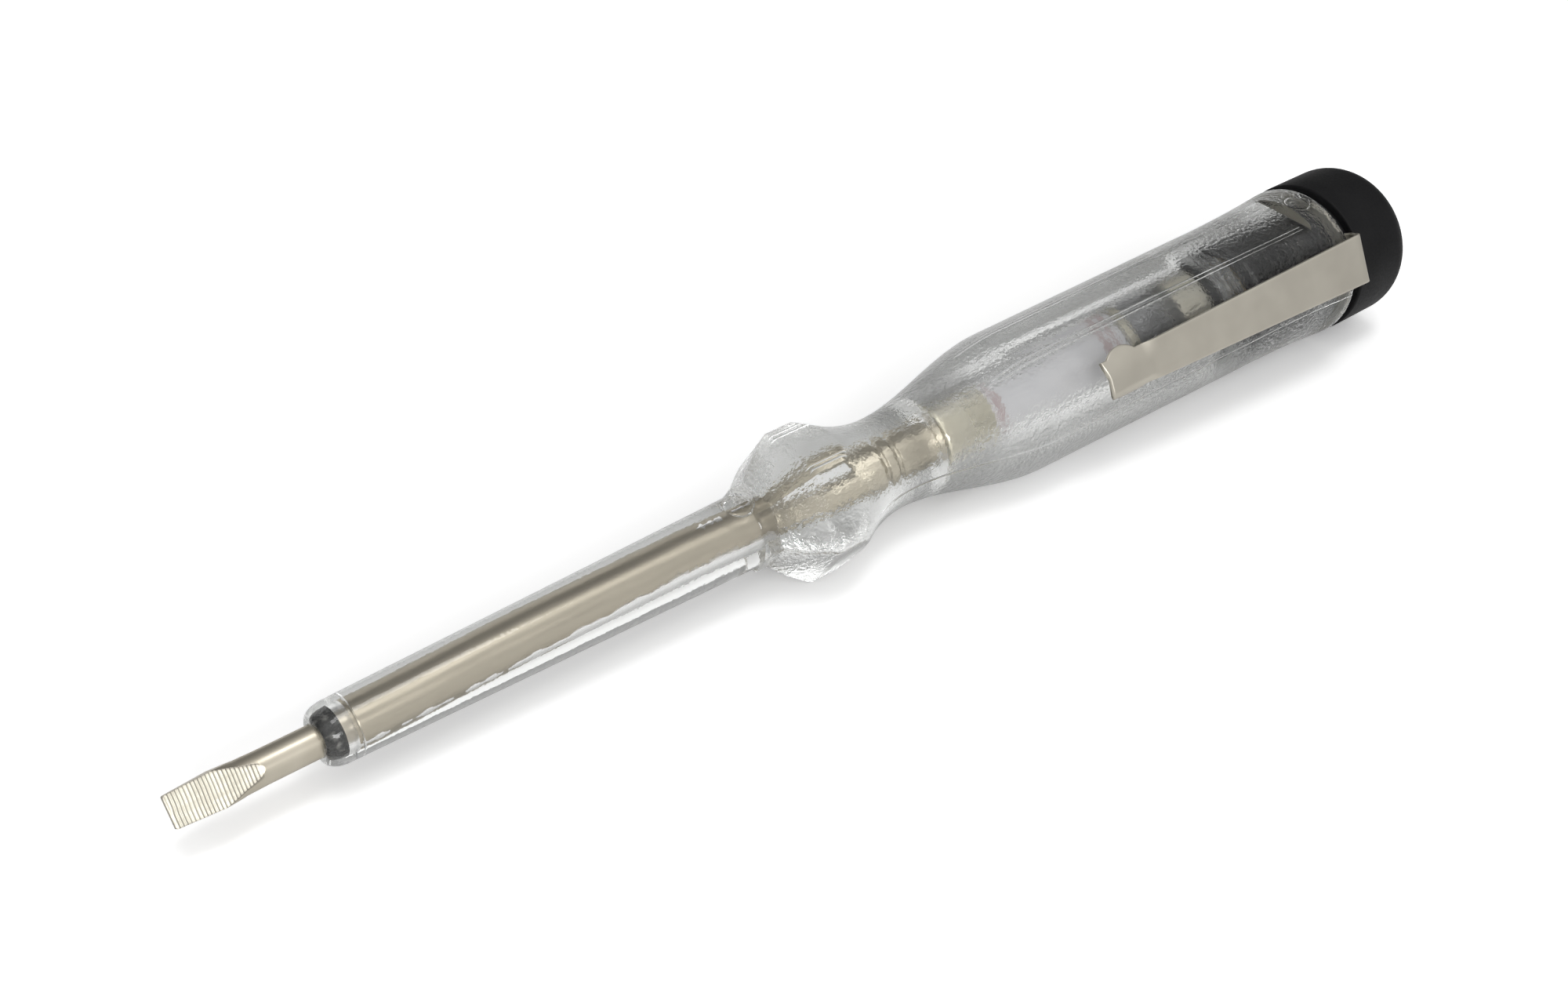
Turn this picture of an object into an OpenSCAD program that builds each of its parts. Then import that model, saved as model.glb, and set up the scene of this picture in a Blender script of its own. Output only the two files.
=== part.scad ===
// Voltage tester screwdriver. The long axis runs along +X, from the blade's tip
// at the origin to the end cap. The moulded panel on the grip faces +Z.

/* [Blade] */
// Diameter of the round shaft
shaft_d = 2.8; // [2.4:0.05:3.2]
// Width of the blade where it is widest
blade_w = 3.0; // [2.8:0.05:3.4]
// Width of the blade at its tip
tip_w = 2.7; // [2.3:0.05:2.8]
// Thickness of the blade at its tip
tip_t = 0.5; // [0.4:0.05:0.8]
// Distance from the tip to the widest place
widest_at = 3.8; // [3:0.1:4.6]
// Length that is ground flat on both sides
ground_len = 7.3; // [6.4:0.1:8.4]
// Length of shaft that stands out of the sleeve, blade included
blade_reach = 11.5; // [10:0.1:16]
// Turn of the blade's flat about the long axis, from the panel's side
blade_turn = 48; // [0:1:90]
// Length of shaft that stands in the bore
shaft_in = 0.4; // [0.2:0.1:1]
// Width of each anchor groove
groove_w = 0.8; // [0.5:0.1:1.2]
// Depth of each anchor groove
groove_depth = 0.25; // [0.1:0.05:0.5]
// Distance between the two grooves of a pair
groove_pitch = 1.9; // [1.5:0.1:2.6]
// Air between the steel and the moulding
mould_gap = 0.02; // [0.01:0.01:0.04]

/* [Sleeve] */
// Length of the sleeve, from its nose to the guard
sleeve_len = 43.2; // [38:0.2:60]
// Length of the rounded nose
nose_len = 1.8; // [1.2:0.1:2.4]
// Diameter of the sleeve behind the nose
sleeve_front_d = 5.25; // [4.6:0.05:5.8]
// Diameter of the sleeve where it meets the guard
sleeve_rear_d = 6.9; // [6:0.05:7.6]
// Diameter of the flat pad near the guard
sleeve_pad_d = 2.8; // [2:0.1:3.2]
// Distance from the guard to the middle of that pad
sleeve_pad_at = 2.1; // [1.7:0.1:2.5]

/* [Guard] */
// Width of the guard across its flats
guard_af = 12.6; // [11.8:0.1:14]
// Length of the sloping front faces
guard_front_len = 3.8; // [3:0.1:4.6]
// Length of the flats
guard_flat_len = 2.9; // [2.2:0.1:4]
// Length of the coned rear
guard_rear_len = 3.1; // [2.4:0.1:3.8]
// Diameter of the ridge behind the guard
guard_rear_d = 11.1; // [10.4:0.1:11.6]

/* [Grip] */
// Diameter of the neck
neck_d = 9; // [8.4:0.1:9.8]
// Length from the guard's ridge to the neck
neck_run = 4.95; // [4:0.05:6]
// Length of the shoulder behind the neck
shoulder_run = 16.6; // [15:0.2:20]
// Diameter at the end of the shoulder
shoulder_d = 14.6; // [14:0.1:15.2]
// Length of the grip's long middle
grip_run = 29; // [26:0.5:40]
// Diameter at the end of the long middle
grip_d = 15.3; // [14.8:0.1:15.8]
// Length of the flare at the rear
flare_run = 14.8; // [13:0.1:18]
// Diameter of the rear rim
rim_d = 16.6; // [16:0.1:17.4]
// Rounding of the rim's edge
rim_round = 0.3; // [0.15:0.05:0.4]

/* [Panel] */
// Height of the flat panel above the axis
panel_h = 7.03; // [6.8:0.01:7.2]
// Distance from the rim to the rear end of the panel
panel_margin = 3.6; // [3:0.1:6]
// Greatest width of the panel's cut
panel_w = 8.4; // [7.6:0.1:9]
// Radius of the panel's two rear corners
panel_corner = 1.5; // [1:0.1:2]
// Diameter of the pad between panel and rim
rim_pad_d = 3; // [2.4:0.1:3]
// Distance from the rim to the middle of that pad
rim_pad_at = 1.9; // [1.8:0.1:2]
// Depth of the two pads at their middle
pad_depth = 0.15; // [0.08:0.01:0.2]

/* [Bore] */
// Diameter of the bore that holds the resistor and the lamp
bore_d = 6.3; // [6.2:0.05:6.6]
// Depth of the bore from the rim
bore_depth = 55.2; // [54.4:0.1:56]
// Diameter of the threaded rear of the bore
thread_d = 9; // [8.6:0.1:9.6]
// Length of the threaded rear of the bore
thread_len = 16.8; // [15:0.1:19]
// Rise of the thread in one turn
thread_pitch = 1.25; // [1.15:0.05:1.35]
// Turns of thread on the cap's plug
thread_turns = 9; // [8:1:10]
// Plain mouth of the bore, and plain end of the plug that fits it
mouth_len = 2.25; // [2:0.05:2.6]

/* [Resistor] */
// Diameter of the metal caps of resistor and lamp
contact_d = 6; // [5.8:0.05:6.1]
// Wall of those caps
contact_wall = 0.3; // [0.2:0.05:0.4]
// Length of the resistor over its caps
resistor_len = 25.4; // [24.6:0.1:26]
// Length of the front cap
front_cap_len = 6; // [4:0.1:8]
// Length of the rear cap
rear_cap_len = 1.2; // [0.8:0.1:2]

/* [Lamp] */
// Thickness of the lamp's front contact
lamp_contact_t = 0.6; // [0.4:0.05:0.8]
// Diameter of the lamp's front contact
lamp_contact_d = 2.6; // [2.2:0.1:3]
// Length of the glass in front of its metal cap
glass_len = 6.1; // [5.6:0.1:6.6]
// Diameter of the glass
glass_d = 5.7; // [5.5:0.05:5.8]
// Wall of the glass
glass_wall = 0.35; // [0.25:0.05:0.45]
// Length of the lamp's metal cap
lamp_cap_len = 4.3; // [3.6:0.1:5]
// Diameter of the two electrodes
electrode_d = 0.7; // [0.5:0.05:0.8]
// Length of the two electrodes
electrode_len = 4; // [3:0.1:4.2]
// Distance between the middles of the electrodes
electrode_pitch = 1.5; // [1.2:0.1:1.8]
// Diameter of the lead wires
lead_d = 0.3; // [0.2:0.05:0.4]
// Length of bare lead between an electrode and the glass
lead_run = 0.6; // [0.4:0.1:0.8]
// Diameter of the drop of solder on the rear lead
solder_d = 1.1; // [0.9:0.1:1.3]
// Height of the drop of solder
solder_h = 0.35; // [0.25:0.05:0.4]

/* [Spring] */
// Thickness of the black ring in front of the spring
ring_t = 1.2; // [0.8:0.1:1.4]
// Hole of the black ring
ring_hole_d = 5; // [4.8:0.1:5.2]
// Diameter of the spring over its coils
spring_d = 4.5; // [4.2:0.05:4.6]
// Diameter of the spring's wire
wire_d = 0.45; // [0.35:0.05:0.5]
// Number of coils
coils = 5; // [4:1:5]
// Length of the spring in place
spring_len = 6.2; // [6:0.1:6.6]

/* [Cap] */
// Length of the cap's head
head_len = 9.1; // [8:0.1:12]
// Height of the cap's head over the rim
head_over = 0.02; // [0.01:0.01:0.3]
// Rounding of the head's rear edge
head_round = 2.7; // [2:0.1:3.2]
// Length of the smaller neck in front of the head
cap_neck_len = 0.55; // [0.3:0.05:1]
// Depth of that neck below the rim
cap_neck_depth = 0.9; // [0.7:0.05:1.3]
// Chamfer on the front edge of the plug
plug_edge = 0.2; // [0.1:0.05:0.3]
// Play of the plug in the bore, on the radius
plug_play = 0.05; // [0.02:0.01:0.08]
// Diameter of the recess for the spring in the plug
recess_d = 5.2; // [4.9:0.1:5.4]
// Diameter of the contact stud
stud_d = 2.5; // [2:0.1:3]
// Thickness of the stud's head
stud_head_t = 0.6; // [0.4:0.05:0.8]
// Diameter of the touch plate
touch_d = 6; // [5:0.1:7]
// Thickness of the touch plate
touch_t = 0.4; // [0.3:0.05:0.5]
// Depth of the touch plate below the end of the cap
touch_depth = 0.2; // [0.1:0.05:0.3]

/* [Clip] */
// Thickness of the clip's sheet metal
clip_t = 0.4; // [0.3:0.05:0.5]
// Turn of the clip about the long axis, from the panel's side
clip_turn = 60; // [50:1:70]
// Outer diameter of the clip's collar
collar_d = 13.6; // [12.6:0.1:14]
// Width of the arm at its rear end
arm_rear_w = 5.3; // [4.6:0.1:5.6]
// Width of the arm where it meets the end tab
arm_front_w = 3.9; // [3.4:0.1:4.2]
// Gap between the arm's rear end and the rim's radius
arm_rear_gap = 1.3; // [1.1:0.05:1.8]
// Gap between the grip and the arm's front end
arm_front_gap = 0.91; // [0.8:0.01:1.2]
// Gap between the grip and the tips of the end tab's ears
ear_gap = 0.36; // [0.3:0.02:0.5]
// Length of the arm from its bend to its front end
arm_len = 38.6; // [34:0.2:39]
// Diameter of the two round ears of the end tab
ear_d = 6; // [5.6:0.1:6]
// Inner radius of the arm's bend
bend_r = 0.4; // [0.3:0.05:0.6]

/* [Fit] */
// Gap between faces that are clamped together
seat_gap = 0.05; // [0.02:0.01:0.08]

/* [Hidden] */
$fn = 96;
round_steps = 8;
run_steps = 14;
sides = 6;
over = 1;

// Places along the long axis
nose_x = blade_reach;
guard_x = nose_x + sleeve_len;
ridge_x = guard_x + guard_front_len;
guard_flat_x = ridge_x + guard_flat_len;
guard_rear_x = guard_flat_x + guard_rear_len;
neck_x = guard_rear_x + neck_run;
shoulder_x = neck_x + shoulder_run;
grip_x = shoulder_x + grip_run;
rim_x = grip_x + flare_run;
bore_x = rim_x - bore_depth;
thread_x = rim_x - thread_len;
shaft_end_x = bore_x + shaft_in;
resistor_x = shaft_end_x;
rod_x = resistor_x + contact_wall;
lamp_x = resistor_x + resistor_len;
glass_x = lamp_x + lamp_contact_t;
lamp_cap_x = glass_x + glass_len;
lamp_end_x = lamp_cap_x + lamp_cap_len;
spring_x = lamp_end_x;
stud_x = spring_x + spring_len + seat_gap;
collar_x = rim_x + seat_gap;
cap_x = collar_x + clip_t + seat_gap;
head_x = cap_x + cap_neck_len;
end_x = head_x + head_len;
plug_x = collar_x - mouth_len - thread_turns * thread_pitch;

// Sizes that follow from others
shaft_r = shaft_d / 2;
hole_r = shaft_r + mould_gap;
guard_corner_r = guard_af / sqrt(3);
guard_trim_share = 0.985;
nose_start_share = 0.62;
guard_groove_share = 0.3;
neck_groove_share = 0.15;
dome_share = 0.5;
edge_share = 0.99;
ground_mid_share = 1.03;
bend_place_share = 0.33;
bend_lean_share = 0.7;
stud_head_share = 1.05;
inner_r = contact_d / 2 - contact_wall;
lead_r = lead_d / 2;
electrode_y = electrode_pitch / 2;
electrode_front_x = glass_x + glass_wall + lead_run;
electrode_rear_x = lamp_cap_x - lead_run;
glass_end_x = lamp_end_x - contact_wall - seat_gap;
plug_r = thread_d / 2 - plug_play;
head_r = rim_d / 2 + head_over;
cap_neck_r = rim_d / 2 - cap_neck_depth;
touch_x = end_x - touch_depth - touch_t;
wire_r = wire_d / 2;
coil_r = spring_d / 2 - wire_r;

// Smooth step from 0 to 1
function ease(t) = t * t * (3 - 2 * t);

// Radius of the grip at a place on its long middle
function grip_r(x) = (shoulder_d + (grip_d - shoulder_d) * (x - shoulder_x) / grip_run) / 2;

// Points of a smooth run from one radius to another, without its first point
function eased_run(x0, r0, x1, r1) =
    [for (i = [1 : run_steps]) let (t = i / run_steps)
        [x0 + (x1 - x0) * t, r0 + (r1 - r0) * ease(t)]];

// A quarter of an ellipse that rises from r0 to r1 over a length
function round_run(x0, r0, len, r1) =
    [for (i = [0 : round_steps]) let (a = 90 * i / round_steps)
        [x0 + len * (1 - cos(a)), r0 + (r1 - r0) * sin(a)]];

// The four points of one anchor groove
function groove(x, r) =
    [[x - groove_w / 2, r], [x - groove_w / 4, r - groove_depth],
        [x + groove_w / 4, r - groove_depth], [x + groove_w / 2, r]];

// The shaft's outline from one place to another, with its two pairs of grooves
guard_groove_x = ridge_x - guard_front_len * guard_groove_share;
neck_groove_x = neck_x - neck_run * neck_groove_share;
function shaft_outline(x0, x1, r) = concat(
    [[x0, r]],
    groove(guard_groove_x - groove_pitch / 2, r), groove(guard_groove_x + groove_pitch / 2, r),
    groove(neck_groove_x - groove_pitch / 2, r), groove(neck_groove_x + groove_pitch / 2, r),
    [[x1, r]]);

// The handle's outline from nose to rim
nose_start_r = hole_r + (sleeve_front_d / 2 - hole_r) * (1 - nose_start_share) / 2;
flare_points = [for (i = [1 : run_steps]) let (t = i / run_steps)
    [grip_x + (flare_run - rim_round) * t, (grip_d + (rim_d - grip_d) * t * t) / 2]];
handle_outline = concat(
    round_run(nose_x, nose_start_r, nose_len, sleeve_front_d / 2),
    [[guard_x, sleeve_rear_d / 2], [guard_rear_x, guard_rear_d / 2]],
    [for (i = [1 : run_steps]) let (t = i / run_steps)
        [guard_rear_x + neck_run * t,
            (neck_d + (guard_rear_d - neck_d) * pow(1 - t, 2)) / 2]],
    eased_run(neck_x, neck_d / 2, shoulder_x, shoulder_d / 2),
    [[grip_x, grip_d / 2]],
    flare_points,
    [[rim_x, rim_d / 2 - rim_round]]);

// Radius of the handle at the two flat pads
sleeve_pad_x = guard_x - sleeve_pad_at;
sleeve_pad_h = (sleeve_front_d + (sleeve_rear_d - sleeve_front_d)
    * (sleeve_pad_x - nose_x) / sleeve_len) / 2 - pad_depth;
rim_pad_x = rim_x - rim_pad_at;
rim_pad_share = (flare_run - rim_pad_at) / flare_run;
rim_pad_h = (grip_d + (rim_d - grip_d) * pow(rim_pad_share, 2)) / 2 - pad_depth;

// Turns an outline of [place, radius] points about the long axis
module turned(points) {
    rotate([0, 90, 0])
        rotate_extrude()
            polygon([for (p = points) [p[1], p[0]]]);
}

// A solid between the axis and an outline
module turned_solid(points) {
    last = points[len(points) - 1];
    turned(concat([[points[0][0], 0]], points, [[last[0], 0]]));
}

// A round bar along the long axis, off the axis by y
module bar(x0, x1, r, y = 0) {
    translate([x0, y, 0])
        rotate([0, 90, 0])
            cylinder(h = x1 - x0, r = r);
}

// A flat shape in the XZ plane, made a slab of a given width along Y
module side_slab(points, width) {
    rotate([90, 0, 0])
        linear_extrude(height = width, center = true)
            polygon(points);
}

// The six-sided guard: flats, sloping front faces and coned rear
module guard_block() {
    rear_rise = guard_corner_r * guard_trim_share;
    difference() {
        intersection() {
            translate([guard_x, 0, 0])
                rotate([0, 90, 0])
                    rotate([0, 0, 30])
                        cylinder(h = guard_rear_x - guard_x, r = guard_corner_r, $fn = sides);
            turned_solid([[guard_x, rear_rise], [guard_flat_x, rear_rise],
                [guard_rear_x, guard_rear_d / 2]]);
        }
        for (k = [0 : sides - 1])
            rotate([360 / sides * k, 0, 0])
                side_slab([[guard_x - over, guard_af / 2], [guard_x - over, 0],
                    [guard_x, 0], [guard_x, sleeve_rear_d / 2],
                    [ridge_x, guard_af / 2], [ridge_x, guard_af],
                    [guard_x - over, guard_af]], guard_af * 2);
    }
}

// The flat cut that leaves the panel, open at its front, with two round corners behind
module panel_cut() {
    panel_x = rim_x - panel_margin;
    half_w = panel_w / 2 - panel_corner;
    translate([0, 0, panel_h])
        linear_extrude(height = panel_w) {
            translate([neck_x, -panel_w / 2])
                square([panel_x - panel_corner - neck_x, panel_w]);
            translate([neck_x, -half_w])
                square([panel_x - neck_x, half_w * 2]);
            for (s = [-1, 1])
                translate([panel_x - panel_corner, s * half_w])
                    circle(r = panel_corner);
        }
}

// A shallow round flat on top of the moulding
module pad_cut(x, h, d) {
    translate([x, 0, h])
        cylinder(h = d, d = d);
}

module handle() {
    lead_in = (thread_d - bore_d) / 2;
    color([0.86, 0.88, 0.86, 0.4])
        difference() {
            union() {
                turned_solid(handle_outline);
                guard_block();
            }
            turned_solid(shaft_outline(nose_x - over, bore_x + over, hole_r));
            turned_solid([[bore_x, bore_d / 2], [thread_x - lead_in, bore_d / 2],
                [thread_x, thread_d / 2], [rim_x + over, thread_d / 2]]);
            panel_cut();
            pad_cut(sleeve_pad_x, sleeve_pad_h, sleeve_pad_d);
            pad_cut(rim_pad_x, rim_pad_h, rim_pad_d);
        }
}

module blade() {
    widest_t = tip_t + (shaft_d - tip_t) * widest_at / ground_len;
    flat_edge = sqrt(pow(blade_w, 2) + pow(widest_t, 2)) / 2 * edge_share;
    color([0.78, 0.76, 0.7])
        rotate([blade_turn, 0, 0]) {
            intersection() {
                turned_solid([[0, flat_edge], [widest_at, flat_edge],
                    [(widest_at + ground_len) / 2, shaft_r * ground_mid_share], [ground_len, shaft_r],
                    [nose_x, shaft_r]]);
                linear_extrude(height = shaft_d * 2, center = true)
                    polygon([[0, -tip_w / 2], [widest_at, -blade_w / 2], [ground_len, -shaft_r],
                        [nose_x, -shaft_r], [nose_x, shaft_r], [ground_len, shaft_r],
                        [widest_at, blade_w / 2], [0, tip_w / 2]]);
                side_slab([[0, -tip_t / 2], [ground_len, -shaft_r], [nose_x, -shaft_r],
                    [nose_x, shaft_r], [ground_len, shaft_r], [0, tip_t / 2]], blade_w * 2);
            }
            turned_solid(shaft_outline(nose_x, shaft_end_x, shaft_r));
        }
}

module resistor_front_cap() {
    color([0.72, 0.68, 0.58])
        difference() {
            bar(resistor_x, resistor_x + front_cap_len, contact_d / 2);
            bar(rod_x, resistor_x + front_cap_len + over, inner_r);
        }
}

module resistor_rod() {
    color([0.82, 0.82, 0.85])
        bar(rod_x, lamp_x - contact_wall, inner_r - seat_gap);
}

module resistor_rear_cap() {
    color([0.72, 0.68, 0.58])
        difference() {
            bar(lamp_x - rear_cap_len, lamp_x, contact_d / 2);
            bar(lamp_x - rear_cap_len - over, lamp_x - contact_wall, inner_r);
        }
}

module lamp_front_contact() {
    color([0.75, 0.73, 0.68])
        difference() {
            bar(lamp_x, glass_x, lamp_contact_d / 2);
            bar(lamp_x + lamp_contact_t / 2, glass_x + over, lead_r, electrode_y);
        }
}

module lamp_front_lead() {
    color([0.75, 0.6, 0.45])
        bar(lamp_x + lamp_contact_t / 2, electrode_front_x, lead_r, electrode_y);
}

module lamp_front_electrode() {
    color([0.35, 0.35, 0.36])
        bar(electrode_front_x, electrode_front_x + electrode_len, electrode_d / 2, electrode_y);
}

// The glass is closed at both ends, round in front, and drawn in where its cap grips it
module lamp_glass() {
    glass_r = glass_d / 2;
    tail_r = inner_r - seat_gap;
    dome = glass_r * dome_share;
    color([0.8, 0.85, 0.86, 0.4])
        difference() {
            turned_solid(concat(
                round_run(glass_x, glass_r - dome, dome, glass_r),
                [[lamp_cap_x - seat_gap * 2, glass_r], [lamp_cap_x - seat_gap, tail_r],
                    [glass_end_x, tail_r]]));
            turned_solid(concat(
                round_run(glass_x + glass_wall, glass_r - dome - glass_wall / 2,
                    dome, glass_r - glass_wall),
                [[lamp_cap_x - glass_wall, glass_r - glass_wall],
                    [lamp_cap_x, tail_r - glass_wall],
                    [glass_end_x - glass_wall, tail_r - glass_wall]]));
            bar(glass_x - over, glass_x + glass_wall + over, lead_r, electrode_y);
            bar(glass_end_x - glass_wall - over, glass_end_x + over, lead_r, -electrode_y);
        }
}

module lamp_rear_electrode() {
    color([0.35, 0.35, 0.36])
        bar(electrode_rear_x - electrode_len, electrode_rear_x, electrode_d / 2, -electrode_y);
}

module lamp_rear_lead() {
    color([0.75, 0.6, 0.45])
        bar(electrode_rear_x, lamp_end_x, lead_r, -electrode_y);
}

module lamp_rear_cap() {
    color([0.72, 0.68, 0.58])
        difference() {
            bar(lamp_cap_x, lamp_end_x, contact_d / 2);
            bar(lamp_cap_x - over, lamp_end_x - contact_wall, inner_r);
            bar(lamp_end_x - contact_wall - over, lamp_end_x + over, lead_r, -electrode_y);
        }
}

// A shallow dome of solder where the rear lead comes through the cap
module lamp_solder() {
    dome_r = (pow(solder_d / 2, 2) + pow(solder_h, 2)) / (2 * solder_h);
    color([0.8, 0.8, 0.82])
        intersection() {
            translate([lamp_end_x + solder_h - dome_r, -electrode_y, 0])
                sphere(r = dome_r);
            bar(lamp_end_x, lamp_end_x + solder_h + over, dome_r, -electrode_y);
        }
}

module insulating_ring() {
    color([0.08, 0.08, 0.09])
        difference() {
            bar(lamp_end_x, lamp_end_x + ring_t, contact_d / 2);
            bar(lamp_end_x - over, lamp_end_x + ring_t + over, ring_hole_d / 2);
        }
}

// The spring's wire: a straight end along the axis, a bend, the coils, a bend and an end.
// Each row holds the place of a ring's middle, its direction and its outward side.
coil_rings = 8;
stub = wire_d;
turn_in = wire_d;
coil_x0 = spring_x + stub + turn_in;
spring_end_x = spring_x + spring_len;
coil_x1 = spring_end_x - stub - turn_in;
coil_rise = (coil_x1 - coil_x0) / coils;
bend_turn = turn_in / coil_r * 180 / PI;
function on_coil(x, a) = [x, coil_r * cos(a), coil_r * sin(a)];
function outward(a) = [0, cos(a), sin(a)];
function along_coil(a, lean) = let (s = sqrt(1 - lean * lean)) [lean, -s * sin(a), s * cos(a)];
coil_lean = coil_rise / sqrt(pow(coil_rise, 2) + pow(2 * PI * coil_r, 2));
last_a = 360 * coils;
wire_rows = concat(
    [[on_coil(spring_x, -bend_turn), along_coil(-bend_turn, 1), -bend_turn],
        [on_coil(spring_x + stub, -bend_turn), along_coil(-bend_turn, 1), -bend_turn],
        [on_coil(coil_x0 - turn_in * bend_place_share, -bend_turn * bend_lean_share),
            along_coil(-bend_turn * bend_lean_share, bend_lean_share),
            -bend_turn * bend_lean_share]],
    [for (i = [0 : coil_rings * coils]) let (a = 360 * i / coil_rings)
        [on_coil(coil_x0 + coil_rise * i / coil_rings, a), along_coil(a, coil_lean), a]],
    [[on_coil(coil_x1 + turn_in * bend_place_share, last_a + bend_turn * bend_lean_share),
        along_coil(last_a + bend_turn * bend_lean_share, bend_lean_share),
        last_a + bend_turn * bend_lean_share],
        [on_coil(spring_end_x - stub, last_a + bend_turn),
            along_coil(last_a + bend_turn, 1), last_a + bend_turn],
        [on_coil(spring_end_x, last_a + bend_turn),
            along_coil(last_a + bend_turn, 1), last_a + bend_turn]]);
wire_sides = 6;
function wire_ring(row) =
    let (side = outward(row[2]), third = cross(row[1], side))
    [for (k = [0 : wire_sides - 1]) let (b = 360 * k / wire_sides)
        row[0] + side * (wire_r * cos(b)) + third * (wire_r * sin(b))];
wire_points = [for (row = wire_rows) each wire_ring(row)];
wire_last = (len(wire_rows) - 1) * wire_sides;
wire_faces = concat(
    [for (i = [0 : len(wire_rows) - 2], k = [0 : wire_sides - 1])
        let (a = i * wire_sides + k, b = i * wire_sides + (k + 1) % wire_sides)
        each [[a, b, b + wire_sides], [a, b + wire_sides, a + wire_sides]]],
    [for (k = [1 : wire_sides - 2]) [0, k + 1, k]],
    [for (k = [1 : wire_sides - 2]) [wire_last, wire_last + k, wire_last + k + 1]]);
// Least gap of the wire to itself, between rings that lie half a coil or more apart
wire_gap = min([for (i = [0 : len(wire_rows) - 1], j = [i + coil_rings / 2 : len(wire_rows) - 1])
    norm(wire_rows[i][0] - wire_rows[j][0])]) - wire_d;
echo(least_gap_of_the_spring_to_itself = wire_gap);

module contact_spring() {
    color([0.8, 0.8, 0.8])
        polyhedron(points = wire_points, faces = wire_faces);
}

module contact_stud() {
    color([0.8, 0.7, 0.45]) {
        bar(stud_x, stud_x + stud_head_t, spring_d / 2 * stud_head_share);
        bar(stud_x + stud_head_t, touch_x + touch_t, stud_d / 2);
    }
}

module touch_plate() {
    color([0.8, 0.78, 0.72])
        difference() {
            bar(touch_x, touch_x + touch_t, touch_d / 2);
            bar(touch_x - over, end_x + over, stud_d / 2);
        }
}

module end_cap() {
    rear_round = [for (i = [0 : round_steps]) let (a = 90 * i / round_steps)
        [end_x - head_round + head_round * sin(a),
            head_r - head_round + head_round * cos(a)]];
    front_round = rim_round / 2;
    color([0.09, 0.09, 0.1])
        difference() {
            turned_solid(concat(
                [[plug_x, plug_r - plug_edge], [plug_x + plug_edge, plug_r],
                    [cap_x, plug_r], [cap_x, cap_neck_r], [head_x, cap_neck_r],
                    [head_x, head_r - front_round],
                    [head_x + front_round, head_r]],
                rear_round));
            bar(plug_x - over, stud_x + stud_head_t, recess_d / 2);
            bar(stud_x, end_x + over, stud_d / 2);
            bar(touch_x, end_x + over, touch_d / 2);
        }
}

// Places and heights of the clip's arm. The arch of the end tab passes over the grip
// with one gap at its middle and another at the tips of its ears.
arm_front_x = collar_x + clip_t - arm_len;
tab_x = arm_front_x + ear_d;
arm_rear_h = rim_d / 2 + arm_rear_gap + clip_t;
arm_front_h = grip_r(tab_x) + arm_front_gap + clip_t;
leg_top_h = arm_rear_h - clip_t - bend_r;
ear_drop = arm_front_h - clip_t - sqrt(pow(grip_r(tab_x) + ear_gap, 2) - pow(ear_d / 2, 2));
arch_in_r = (pow(ear_drop, 2) + pow(ear_d / 2, 2)) / (2 * ear_drop);
arch_out_r = arch_in_r + clip_t;

// The collar lies between the rim and the cap, and its leg rises beside the cap's neck
module clip_collar() {
    color([0.7, 0.68, 0.63])
        difference() {
            rotate([clip_turn, 0, 0])
                union() {
                    bar(collar_x, collar_x + clip_t, collar_d / 2);
                    translate([collar_x, -arm_rear_w / 2, 0])
                        cube([clip_t, arm_rear_w, leg_top_h - seat_gap]);
                }
            bar(collar_x - over, collar_x + clip_t + over, thread_d / 2);
        }
}

// The arm starts at the top of the leg, bends forward and ends in an arched tab with ears
module clip_arm() {
    bend_x = collar_x - bend_r;
    bend_out = [for (i = [0 : round_steps]) let (a = 90 * i / round_steps)
        [bend_x + (bend_r + clip_t) * cos(a), leg_top_h + (bend_r + clip_t) * sin(a)]];
    bend_in = [for (i = [round_steps : -1 : 0]) let (a = 90 * i / round_steps)
        [bend_x + bend_r * cos(a), leg_top_h + bend_r * sin(a)]];
    color([0.7, 0.68, 0.63])
        rotate([clip_turn, 0, 0]) {
            intersection() {
                side_slab(concat(bend_out,
                    [[tab_x, arm_front_h], [tab_x, arm_front_h - clip_t]], bend_in),
                    arm_rear_w * 2);
                linear_extrude(height = arm_rear_h * 2)
                    polygon([[tab_x, -arm_front_w / 2], [bend_x, -arm_rear_w / 2],
                        [collar_x + clip_t, -arm_rear_w / 2], [collar_x + clip_t, arm_rear_w / 2],
                        [bend_x, arm_rear_w / 2], [tab_x, arm_front_w / 2]]);
            }
            translate([0, 0, arm_front_h - arch_out_r])
                intersection() {
                    difference() {
                        bar(arm_front_x, tab_x + clip_t, arch_out_r);
                        bar(arm_front_x - over, tab_x + clip_t + over, arch_in_r);
                    }
                    linear_extrude(height = arch_out_r * 2) {
                        translate([arm_front_x, -arm_front_w / 2])
                            square([tab_x + clip_t - arm_front_x, arm_front_w]);
                        intersection() {
                            translate([arm_front_x + ear_d / 2 - clip_t, 0])
                                circle(d = ear_d);
                            translate([arm_front_x, -ear_d / 2])
                                square([ear_d, ear_d]);
                        }
                    }
                }
        }
}

handle();
blade();
resistor_front_cap();
resistor_rod();
resistor_rear_cap();
lamp_front_contact();
lamp_front_lead();
lamp_front_electrode();
lamp_glass();
lamp_rear_electrode();
lamp_rear_lead();
lamp_rear_cap();
lamp_solder();
insulating_ring();
contact_spring();
contact_stud();
touch_plate();
end_cap();
clip_collar();
clip_arm();
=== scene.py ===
# %% [markdown]
# # A voltage tester screwdriver
# The tool is a flat blade moulded into a clear plastic handle. Inside the handle lie
# a resistor, a glow lamp and a spring, and a black screw cap with a pocket clip
# closes its bore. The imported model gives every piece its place. This script gives
# the pieces their real surfaces.

import math

import bpy
import numpy as np
from mathutils import Matrix, Vector


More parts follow.
